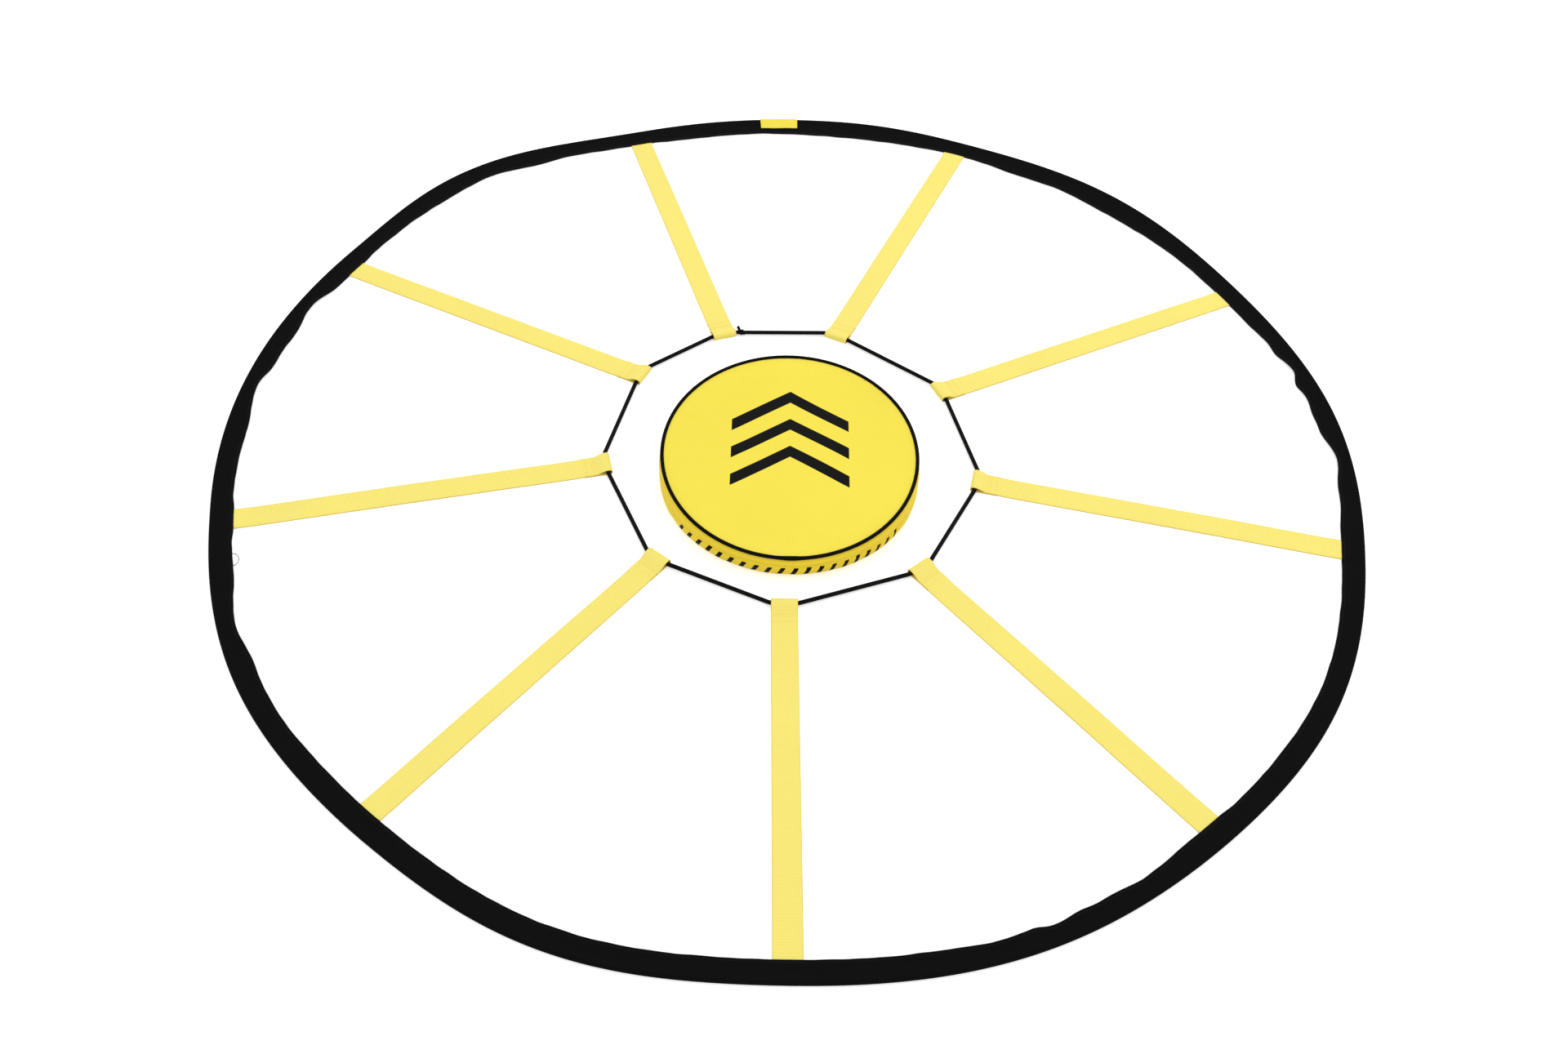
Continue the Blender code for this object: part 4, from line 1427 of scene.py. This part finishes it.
@dataclass
class CentreCord:
    """The braided elastic cord through the loops, and the knot that joins its ends."""

    spokes: List[Spoke]
    radius: float
    height: float
    knot_spoke: int = 5
    bend: float = 0.014
    straight: float = 0.0018
    bend_steps: int = 8
    sides: int = 20
    knot_back: float = 0.0085
    knot_rise: float = 0.0006
    knot_width: float = 0.0072
    knot_start: float = 200.0
    knot_turns: float = 1.75
    knot_steps: int = 44
    knot_squeeze: float = 0.75
    knot_bulge: float = 0.18
    wrap: float = 0.0024
    tail_angle: float = 38.0
    tail_length: float = 0.01
    tail_back: float = 0.0046
    tail_bow: float = 0.0012
    cut_rounding: float = 0.0006

    def corners(self) -> List[Vector]:
        """Give the points where the cord leaves each loop, in order round the ring.

        Returns:
            The points, two for each loop.
        """
        found = []
        for spoke in self.spokes:
            middle = spoke.seam.xy.to_3d() + spoke.inward * spoke.length + UP * self.height
            half = spoke.across * (spoke.width / 2 + self.straight)
            found += [middle - half, middle + half]
        return found

    def route(self) -> List[Vector]:
        """Give the cord's closed middle line with its corners rounded.

        Returns:
            Points along the cord's middle line.
        """
        corners = self.corners()
        line: List[Vector] = []
        for i, corner in enumerate(corners):
            before = corners[i - 1]
            after = corners[(i + 1) % len(corners)]
            back = (before - corner).normalized()
            ahead = (after - corner).normalized()
            half = back.angle(ahead) / 2
            reach = self.bend / math.tan(half)
            start = corner + back * reach
            end = corner + ahead * reach
            for j in range(self.bend_steps + 1):
                share = j / self.bend_steps
                line.append(start.lerp(corner, share).lerp(corner.lerp(end, share), share))
            gap = (after - end).length - self.bend / math.tan(half)
            for j in range(1, 12):
                line.append(end + ahead * gap * j / 12)
        return line

    def build_cord(self) -> None:
        """Make the cord as a braided tube."""
        line = self.route()
        count = len(line)
        lengths = running_lengths(line + line[:1])

        def spot(along: float, around: float) -> Vector:
            index = int(round(along * count)) % count
            ahead = (line[(index + 1) % count] - line[index - 1]).normalized()
            side = ahead.cross(UP)
            turn = around * math.tau
            return line[index] + (side * math.cos(turn) + UP * math.sin(turn)) * self.radius

        girth = math.tau * self.radius
        work = lofted((count, self.sides), spot, (True, True), (1.0, girth))
        uv = work.loops.layers.uv["UVMap"]
        for face in work.faces:
            for loop in face.loops:
                loop[uv].uv.x = lengths[int(round(loop[uv].uv.x * count))]
        Piece("braided_cord", CORD_BLACK, "centre", ("centre_cord",), ROUND).add(finish_solid(work))
        LOG.info("the cord's ring is %.3f m long", lengths[-1])

    def build_knot(self) -> None:
        """Make the knot: two wraps of cord round the ring, and the cut end that stands out of it."""
        low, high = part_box("cord_knot")
        corners = self.corners()
        first = corners[self.knot_spoke * 2]
        before = corners[self.knot_spoke * 2 - 1]
        back = (first - before).normalized()
        centre = first - back * self.knot_back
        outward = Vector((centre.x, centre.y, 0.0)).normalized()
        coil = self.radius + CLEARANCE
        points = []
        for i in range(self.knot_steps + 1):
            share = i / self.knot_steps
            turn = math.radians(self.knot_start) + share * math.tau * self.knot_turns
            ease = 1 - self.knot_bulge + self.knot_bulge * math.sin(math.pi * share)
            ring = (outward * math.cos(turn) + UP * math.sin(turn)) * coil * ease * self.knot_squeeze
            points.append(centre + UP * self.knot_rise + ring + back * (share - 0.5) * self.knot_width)
        rise = math.radians(self.tail_angle)
        lean = outward * math.cos(rise) + UP * math.sin(rise)
        end = points[-1]
        tip = centre + lean * self.tail_length + back * self.tail_back
        bow = (outward - back * 0.6) * self.tail_bow
        tail = [end.lerp(tip, i / 8) + bow * math.sin(math.pi * i / 8) for i in range(1, 9)]
        work = swept(points + tail, self.wrap, 12)
        rims = [edge for edge in work.edges if any(len(face.verts) > 4 for face in edge.link_faces)]
        rounded(work, rims, self.cut_rounding, 3)
        Piece("cord_knot_wraps", CORD_BLACK, "centre", ("cord_knot",), ROUND).add(work)
        LOG.info("knot stands %.1f to %.1f mm high", low.z / MILLIMETRE, high.z / MILLIMETRE)

    def build(self) -> None:
        """Make the cord and its knot."""
        self.build_cord()
        self.build_knot()


def blank_inside(work: bmesh.types.BMesh, middle: Vector) -> bmesh.types.BMesh:
    """Move the map of the faces that look towards a point off the print.

    Args:
        work: The closed solid, whose map is in metres.
        middle: A point inside the bag.

    Returns:
        The same solid.
    """
    uv = work.loops.layers.uv["UVMap"]
    for face in work.faces:
        if face.normal.dot(face.calc_center_median() - middle) < 0:
            for loop in face.loops:
                loop[uv].uv = (loop[uv].uv.x + 1.0, loop[uv].uv.y)
    return work


@dataclass
class CarryBag:
    """The round zipped bag without its zip: panels, piping and wall."""

    hinge_y: float
    cloth: float = 0.0012
    piping: float = 0.0025
    slot: float = 0.004
    slot_end: float = 12.0
    rings: int = 240
    columns: int = 300
    # The top's waves: each height, then what multiplies x and y and is added inside the sine.
    hollows: Tuple[Tuple[float, float, float, float], ...] = ((0.0016, 19, 11, 0.6), (0.0011, -14, 31, 2.2))
    # The top's folds: height, line as x, y and offset, half width, and share out where each begins.
    folds: Tuple[Tuple[float, float, float, float, float, float], ...] = (
        (0.0011, 0.75, 0.65, 0.055, 0.016, 0.2), (-0.0009, 0.9, -0.42, -0.085, 0.011, 0.3),
    )
    belly: float = 0.0035
    pucker: float = 0.00045
    top_share: float = 0.55
    wall_share: float = 0.85
    wall_crease: float = 0.0026
    wall_crease_sway: float = 0.0015
    wall_crease_half: float = 0.003
    wall_wrinkle: float = 0.0007
    least_fall: float = 0.006
    # The piping's angle of overlap, and its radius: plain, extra at the overlap, and unevenness.
    piping_joint: float = 271.0
    piping_reach: float = 7.0
    piping_shares: Tuple[float, float, float] = (1.12, 0.28, 0.03)
    soft: float = 0.022
    # What __post_init__ reads from the pack.
    centre: Vector = field(init=False)
    ring_radius: float = field(init=False)
    ring_height: float = field(init=False)
    slope: float = field(init=False)
    base_radius: float = field(init=False)
    wall_radius: float = field(init=False)
    zip_height: float = field(init=False)
    zip_top: float = field(init=False)
    zip_foot: float = field(init=False)

    def __post_init__(self) -> None:
        """Read the bag's sizes from the packed pieces."""
        low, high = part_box("bag_base_panel")
        self.centre = (low + high) / 2
        self.centre.z = 0.0
        self.base_radius = (high.x - low.x) / 2
        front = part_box("bag_piping")
        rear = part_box("bag_lid_piping")
        self.ring_radius = (front[1].x - front[0].x) / 2 - self.piping
        lowest = front[0].z + self.piping
        highest = rear[1].z - self.piping
        self.slope = math.asin((highest - lowest) / (2 * self.ring_radius))
        self.ring_height = (highest + lowest) / 2
        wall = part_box("bag_gusset")
        self.wall_radius = (wall[1].x - wall[0].x) / 2
        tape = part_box("zip_tape_lower")
        self.zip_top = tape[1].z
        self.zip_foot = tape[0].z
        self.zip_height = (self.zip_top + self.zip_foot) / 2

    def on_top(self, radius: float, angle: float, rise: float = 0.0) -> Vector:
        """Give a point of the sloping top: at a radius and an angle in its plane, and above it."""
        flat = polar(radius, angle)
        tilt = Matrix.Rotation(self.slope, 3, "X")
        return self.centre + UP * self.ring_height + tilt @ (flat + UP * rise)

    def swell(self, radius: float, angle: float) -> float:
        """Give the top's soft hollows and folds above its plane.

        Args:
            radius: How far from the top's middle.
            angle: Where round the top, in degrees.

        Returns:
            The height, in metres.
        """
        share = radius / self.ring_radius
        edge = smooth_step((1 - share) * 6)
        x = radius * math.cos(math.radians(angle))
        y = radius * math.sin(math.radians(angle))
        broad = sum(height * math.sin(a * x + b * y + c) for height, a, b, c in self.hollows)
        for height, a, b, c, half, start in self.folds:
            ridge = math.exp(-((a * x + b * y + c) / half) ** 2)
            broad += height * ridge * smooth_step((share - start) * 2)
        pucker = self.pucker * ripple(angle, ((37, 0.4), (58, 0.35), (83, 0.25)), 2.3)
        pucker *= smooth_step((share - 0.72) * 4) * smooth_step((1 - share) * 25)
        return broad * edge + pucker - self.belly * (1 - share ** 2)

    def disc(self, steps: Tuple[int, int], place: Place) -> bmesh.types.BMesh:
        """Make a round panel of cloth, whose map lies flat and is in metres.

        Args:
            steps: Faces round the panel and out from its middle.
            place: Where the point at a share round and a share out goes.

        Returns:
            The panel with its thickness.
        """
        work = lofted(steps, place, (True, False))
        uv = work.loops.layers.uv["UVMap"]
        for face in work.faces:
            for loop in face.loops:
                loop[uv].uv = loop.vert.co.xy
        return thickened(work, self.cloth)

    def build_top(self) -> None:
        """Make the top panel: one disc of cloth, in place of both the top's and the lid's packed panels."""
        radius = self.ring_radius - self.piping * self.top_share

        def spot(along: float, across: float) -> Vector:
            reach = max(across, 0.0) * radius
            return self.on_top(reach, along * TURN, self.swell(reach, along * TURN))

        plain = {**vars(BAG_YELLOW), "name": "Printed bag cloth"}
        finish = PrintedCloth(**plain, centre=tuple(self.centre.xy))
        work = blank_inside(finish_solid(self.disc((self.rings, 72), spot)), self.centre)
        panel = Piece("bag_top_cloth", finish, "", ("bag_top_panel", "bag_lid_panel"), ROUND).add(work)
        self.fold_back(panel)

    def fold_back(self, made: bpy.types.Object) -> None:
        """Bake a piece's place into its mesh."""
        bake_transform(made)

    def build_piping(self) -> None:
        """Make the piping, with the thicker place where its ends overlap at the front."""
        plain, overlap, uneven = self.piping_shares

        def spot(along: float, around: float) -> Vector:
            angle = along * TURN
            turn = around * math.tau
            share = plain + overlap * bump(apart(angle, self.piping_joint), self.piping_reach)
            thick = self.piping * (share + uneven * ripple(angle, ((90, 0.6), (141, 0.4)), 0.4))
            return self.on_top(self.ring_radius + thick * math.cos(turn), angle, thick * math.sin(turn))

        work = lofted((360, 14), spot, (True, True), (math.tau * self.ring_radius, math.tau * self.piping))
        cord = Piece("bag_piping_cord", PIPING_BLACK, "", ("bag_piping", "bag_lid_piping"), ROUND)
        self.fold_back(cord.add(finish_solid(work)))

    def top_height(self, angle: float) -> float:
        """Give the height of the wall's upper edge, under the piping."""
        return self.on_top(self.ring_radius, angle, -self.piping * self.wall_share).z

    def wall_point(self, angle: float, share: float) -> Vector:
        """Give a point of the wall's outer face.

        Args:
            angle: Where round the bag.
            share: How far down the wall, with the zip's slot between SLOT_TOP and SLOT_FOOT.

        Returns:
            The point.
        """
        top = self.top_height(angle)
        high = self.zip_height + self.slot
        low = self.zip_height - self.slot
        if share < SLOT_TOP:
            height = top + (high - top) * share / SLOT_TOP
        elif share < SLOT_FOOT:
            height = high + (low - high) * (share - SLOT_TOP) / (SLOT_FOOT - SLOT_TOP)
        else:
            height = low + (self.cloth - low) * (share - SLOT_FOOT) / (1 - SLOT_FOOT)
        return self.centre + polar(self.wall_reach(angle, height, top), angle, height)

    def wall_reach(self, angle: float, height: float, top: float) -> float:
        """Give the wall's radius at a height: drawn in at both seams, with a soft crease in front.

        Args:
            angle: Where round the bag, in degrees.
            height: The height above the floor.
            top: The height of the wall's upper edge there.

        Returns:
            The radius.
        """
        front = smooth_step(-math.sin(math.radians(angle)) * 1.6 + 0.3)
        reach = self.wall_radius
        fall = max(top - self.zip_top, self.least_fall)
        reach -= (self.wall_radius - self.ring_radius) * (1 - smooth_step((top - height) / fall)) ** 1.5
        foot = min(height / self.zip_foot, 1.0)
        reach -= (self.wall_radius - self.base_radius) * (1 - math.sin(math.pi / 2 * foot))
        middle = self.zip_height + self.wall_crease_sway * ripple(angle, ((7, 0.6), (12, 0.4)), 1.1)
        depth = self.wall_crease * (1 + 0.5 * ripple(angle, ((9, 0.5), (16, 0.5)), 2.9))
        reach -= depth * front * math.exp(-((height - middle) / self.wall_crease_half) ** 2)
        free = math.sin(math.pi * min(max((height - 0.001) / (top - 0.001), 0.0), 1.0))
        wrinkle = self.wall_wrinkle * ripple(angle, ((19, 0.4), (31, 0.35), (53, 0.25)), 4.2)
        return reach + wrinkle * front * free

    def build_wall(self) -> None:
        """Make the wall round the bag, open along the zip's slot, and the part above the zip at the rear."""

        def spot(along: float, across: float) -> Vector:
            return self.wall_point(along * TURN, across)

        fixed = lofted((self.columns, 40), spot, (True, False))
        lifting = lofted((self.columns, 40), spot, (True, False))
        for work, keep_upper in ((fixed, False), (lifting, True)):
            gone = []
            for face in work.faces:
                middle = face.calc_center_median() - self.centre
                turn = math.degrees(math.atan2(middle.y, middle.x))
                rear = self.slot_end < turn < TURN / 2 - self.slot_end
                upper = middle.z > self.zip_height + self.slot
                slot = abs(middle.z - self.zip_height) < self.slot
                if keep_upper != (rear and upper) or (rear and slot):
                    gone.append(face)
            bmesh.ops.delete(work, geom=gone, context="FACES")
            self.lay_wall_uv(work)
            thickened(work, self.cloth, self.centre)
        # The wall and the flap wear the deeper yellow of painted shade.
        finish = BandedCloth(**{**vars(SHADED_WALL_YELLOW), "name": "Printed wall cloth with painted shade"})
        fixed = blank_inside(finish_solid(fixed), self.centre + UP * self.zip_height)
        Piece("bag_wall_cloth", finish, "bag", ("bag_gusset",), FOLDED).add(fixed)
        flap = Piece("bag_flap_cloth", SHADED_WALL_YELLOW, "", ("bag_lid_gusset",), FOLDED)
        self.fold_back(flap.add(finish_solid(lifting)))

    def lay_wall_uv(self, work: bmesh.types.BMesh) -> None:
        """Give the wall's map its distance round from the front and its height, in metres.

        Args:
            work: The wall, whose map is set.
        """
        uv = work.loops.layers.uv["UVMap"]
        for face in work.faces:
            centre = face.calc_center_median() - self.centre
            here = math.atan2(centre.y, centre.x)
            for loop in face.loops:
                spot = loop.vert.co - self.centre
                turn = math.atan2(spot.y, spot.x)
                turn += round((here - turn) / math.tau) * math.tau
                loop[uv].uv = ((turn + math.pi / 2) * self.wall_radius, spot.z)

    def build_base(self) -> None:
        """Make the flat base, which reaches under the wall's foot."""

        def spot(along: float, across: float) -> Vector:
            return self.centre + polar(across * (self.base_radius + self.cloth), along * TURN, 0.0)

        work = self.disc((120, 12), spot)
        lowest = min(vert.co.z for vert in work.verts)
        bmesh.ops.translate(work, verts=work.verts, vec=(0.0, 0.0, -lowest))
        Piece("bag_base_cloth", BAG_YELLOW, "bag", ("bag_base_panel",), PLAIN).add(finish_solid(work))

    def build(self) -> None:
        """Make the panels, the piping and the wall."""
        self.build_top()
        self.build_piping()
        self.build_wall()
        self.build_base()


@dataclass
class Zip:
    """The bag's zip: two tapes with their teeth, the slider and the pull."""

    bag: CarryBag
    end: float = 11.4
    tape: float = 0.0007
    tape_gap: float = 0.0003
    tooth: Tuple[float, float, float] = (0.0014, 0.42, 0.0021)
    tooth_pitch: float = 0.0016
    tooth_edge: float = 0.00016
    tooth_off: float = 0.00045
    metal_edge: float = 0.00035

    def angle(self, share: float) -> float:
        """Give the angle at a share of the zip's way round the rear."""
        return self.end + (TURN / 2 - 2 * self.end) * share

    def build_half(self, name: str, side: int) -> None:
        """Make one half of the zip: its tape and its row of teeth.

        Args:
            name: Which half, upper or lower.
            side: 1 for the upper half, -1 for the lower.
        """
        bag = self.bag
        face = bag.wall_radius - bag.cloth - self.tape_gap
        near = bag.zip_height + side * CLEARANCE
        far = bag.zip_top if side > 0 else bag.zip_foot
        length = math.radians(TURN / 2 - 2 * self.end) * face

        def spot(along: float, across: float) -> Vector:
            return bag.centre + polar(face, self.angle(along), near + (far - near) * across)

        tape = lofted((140, 6), spot, cloth=(length, abs(far - near)))
        tape = finish_solid(thickened(tape, self.tape, bag.centre))
        teeth = self.teeth(side, int(length / self.tooth_pitch), face + self.tape)
        body = "" if side > 0 else "bag"
        made = [
            Piece(f"zip_tape_cloth_{name}", TAPE_BLACK, body, (f"zip_tape_{name}",), PLAIN).add(tape),
            Piece(f"zip_teeth_{name}", TOOTH_BLACK, body, (), HARD).add(teeth),
        ]
        if side > 0:
            for piece in made:
                bag.fold_back(piece)

    def teeth(self, side: int, count: int, radius: float) -> bmesh.types.BMesh:
        """Make one row of teeth, the upper row set half a tooth off the lower.

        Args:
            side: 1 for the upper row, -1 for the lower.
            count: How many teeth there are.
            radius: How far from the bag's middle they stand.

        Returns:
            All the teeth.
        """
        deep, share, high = self.tooth
        size = Matrix.Diagonal((deep, self.tooth_pitch * share, high, 1.0))
        height = self.bag.zip_height + side * self.tooth_off
        places = []
        for i in range(count):
            angle = self.angle((i + (0.5 if side > 0 else 0.0)) / count)
            middle = self.bag.centre + polar(radius, angle, height)
            turn = Matrix.Rotation(math.radians(angle), 4, "Z")
            places.append(Matrix.Translation(middle) @ turn @ size)
        parts = in_batches(places, bmesh.ops.create_cube, size=1.0)
        for part in parts:
            rounded(part, part.edges[:], self.tooth_edge, 1)
        return joined(parts)

    def build(self, nodes: Dict[str, bpy.types.Object]) -> None:
        """Make both halves, and the slider and its pull with their edges rounded.

        Args:
            nodes: The packed pieces, by name.
        """
        self.build_half("lower", -1)
        self.build_half("upper", 1)
        for name, body in (("zip_slider_body", "zip_slider"), ("zip_pull_tab", "zip_pull")):
            work = softened(nodes[body], self.metal_edge)
            Piece(name, SLIDER_BLACK, body, (body,), HARD).add(work)


def softened(node: bpy.types.Object, width: float) -> bmesh.types.BMesh:
    """Give a copy of a packed piece with its sharp edges rounded.

    Args:
        node: The packed piece.
        width: The bevel's width.

    Returns:
        The rounded copy.
    """
    work = bmesh.new()
    work.from_mesh(node.data)
    bmesh.ops.remove_doubles(work, verts=work.verts, dist=HAIR)
    bmesh.ops.dissolve_limit(work, angle_limit=math.radians(1.0), verts=work.verts, edges=work.edges)
    sharp = [e for e in work.edges if len(e.link_faces) == 2 and e.calc_face_angle() > math.radians(30)]
    rounded(work, sharp, width, 2, clamp=True)
    return finish_solid(work)


@dataclass
class Studio:
    """The plain pale floor, the soft lights and the camera."""

    eye: Tuple[float, float, float] = (-0.06568, -1.72614, 1.8081)
    aim: Tuple[float, float, float] = (-0.01248, -0.13644, 0.0)
    roll: float = 3.01
    lens: float = 37.44
    sensor: float = 36.0
    floor_size: float = 30.0
    floor_grey: float = 0.86
    floor_roughness: float = 0.9
    floor_specular: float = 0.1
    floor_glow: float = 0.48
    lamp_place: Tuple[float, float, float] = (1.5, 2.6, 4.2)
    lamp_size: float = 2.2
    lamp_power: float = 42.0
    sky: float = 0.92

    def build_camera(self) -> None:
        """Stand the camera where the photograph was taken from."""
        camera = bpy.data.cameras.new("camera")
        camera.sensor_width = self.sensor
        camera.lens = self.lens
        made = linked("camera", camera)
        ahead = (Vector(self.aim) - Vector(self.eye)).normalized()
        right = ahead.cross(UP).normalized()
        above = right.cross(ahead)
        turn = math.radians(self.roll)
        level = right * math.cos(turn) + above * math.sin(turn)
        upright = level.cross(ahead)
        place = Matrix((level, upright, -ahead)).transposed().to_4x4()
        place.translation = Vector(self.eye)
        made.matrix_world = place
        bpy.context.scene.camera = made

    def build_floor(self) -> None:
        """Lay the white floor, which keeps the ladder's shadow."""
        work = bmesh.new()
        bmesh.ops.create_grid(work, x_segments=2, y_segments=2, size=self.floor_size / 2)
        mesh = bpy.data.meshes.new("floor")
        work.to_mesh(mesh)
        work.free()
        material = bpy.data.materials.new("White floor")
        material.use_nodes = True
        graph = Graph(material.node_tree)
        shader = material.node_tree.nodes["Principled BSDF"]
        shader.inputs["Base Color"].default_value = grey(self.floor_grey)
        shader.inputs["Roughness"].default_value = self.floor_roughness
        shader.inputs["Specular IOR Level"].default_value = self.floor_specular
        shader.inputs["Emission Strength"].default_value = 1.0
        glow = graph.mix(seen_directly(graph), grey(0.0), grey(self.floor_glow))
        graph.wire(shader.inputs["Emission Color"], glow)
        mesh.materials.append(material)
        linked("floor", mesh)

    def build_light(self) -> None:
        """Light the ladder from all round, and softly from high behind on the right."""
        world = bpy.data.worlds.new("world")
        bpy.context.scene.world = world
        world.use_nodes = True
        graph = Graph(world.node_tree)
        background = world.node_tree.nodes["Background"]
        light = graph.mix(seen_directly(graph), grey(self.sky), grey(1.0))
        graph.wire(background.inputs["Color"], light)
        lamp = bpy.data.lights.new("soft key", "AREA")
        lamp.shape = "DISK"
        lamp.size = self.lamp_size
        lamp.energy = self.lamp_power
        made = linked("soft key", lamp)
        made.location = self.lamp_place
        made.rotation_euler = (-made.location).to_track_quat("-Z", "Y").to_euler()

    def build(self) -> None:
        """Set up the studio."""
        self.build_camera()
        self.build_floor()
        self.build_light()
        bpy.context.scene.view_settings.view_transform = "Standard"


def grey(value: float) -> Tuple[float, float, float, float]:
    """Give a grey as a colour with full alpha."""
    return (value, value, value, 1.0)


def seen_directly(graph: Graph) -> bpy.types.NodeSocket:
    """Give 1 for rays that the camera, a reflection or clear material sees, and 0 for light."""
    path = graph.node("ShaderNodeLightPath")
    seen = graph.math("MAXIMUM", path.outputs["Is Camera Ray"], path.outputs["Is Glossy Ray"])
    return graph.math("MAXIMUM", seen, path.outputs["Is Transmission Ray"])


def make_spokes(loaded: dict) -> List[Spoke]:
    """Read each spoke's place from its joint.

    Args:
        loaded: What the packed frame holds.

    Returns:
        The spokes, in order round the hoop.
    """
    lengths = {c["joint"]: 1 / c["ratio"] for c in loaded["record"]["behaviour"]["couplings"]}
    low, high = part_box("centre_cord")
    spokes = []
    for joint in loaded["joints"]:
        name = joint["name"]
        if not name.startswith("spoke_"):
            continue
        inward = UP.cross(Vector(joint["axis"])).normalized()
        spokes.append(Spoke(
            number=int(name.split("_")[1]), seam=Vector(joint["pos_m"]), inward=inward, length=lengths[name],
            cord_height=(low.z + high.z) / 2, cord_radius=(high.z - low.z) / 2,
        ))
    return spokes


def dress_hidden(nodes: Dict[str, bpy.types.Object]) -> None:
    """Give the packed pieces that stay, inside the sleeve, their finish.

    Args:
        nodes: The packed pieces, by name.
    """
    for name, node in nodes.items():
        finish = PLATED_STEEL if name == "wire_ferrule" else WEBBING_YELLOW if "seam_end" in name else None
        if finish:
            node.data.materials.clear()
            node.data.materials.append(finish.material())


def main() -> None:
    """Build the ladder and its studio."""
    logging.basicConfig(level=logging.INFO, format="%(name)s: %(message)s")
    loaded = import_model()
    nodes = loaded["nodes"]
    spokes = make_spokes(loaded)
    outline = Outline(nodes)
    seams = [math.degrees(math.atan2(spoke.seam.y, spoke.seam.x)) for spoke in spokes]
    hoop = Hoop(outline, seams)
    hoop.build()
    Label(hoop).build()
    LooseThread(hoop).build()
    for spoke in spokes:
        spoke.build()
    CentreCord(spokes, spokes[0].cord_radius, spokes[0].cord_height).build()
    hinge = next(joint for joint in loaded["joints"] if joint["name"] == "lid_hinge")
    bag = CarryBag(hinge_y=hinge["pos_m"][1])
    bag.build()
    Zip(bag).build(nodes)
    dress_hidden(nodes)
    Studio().build()


if __name__ == "__main__":
    main()
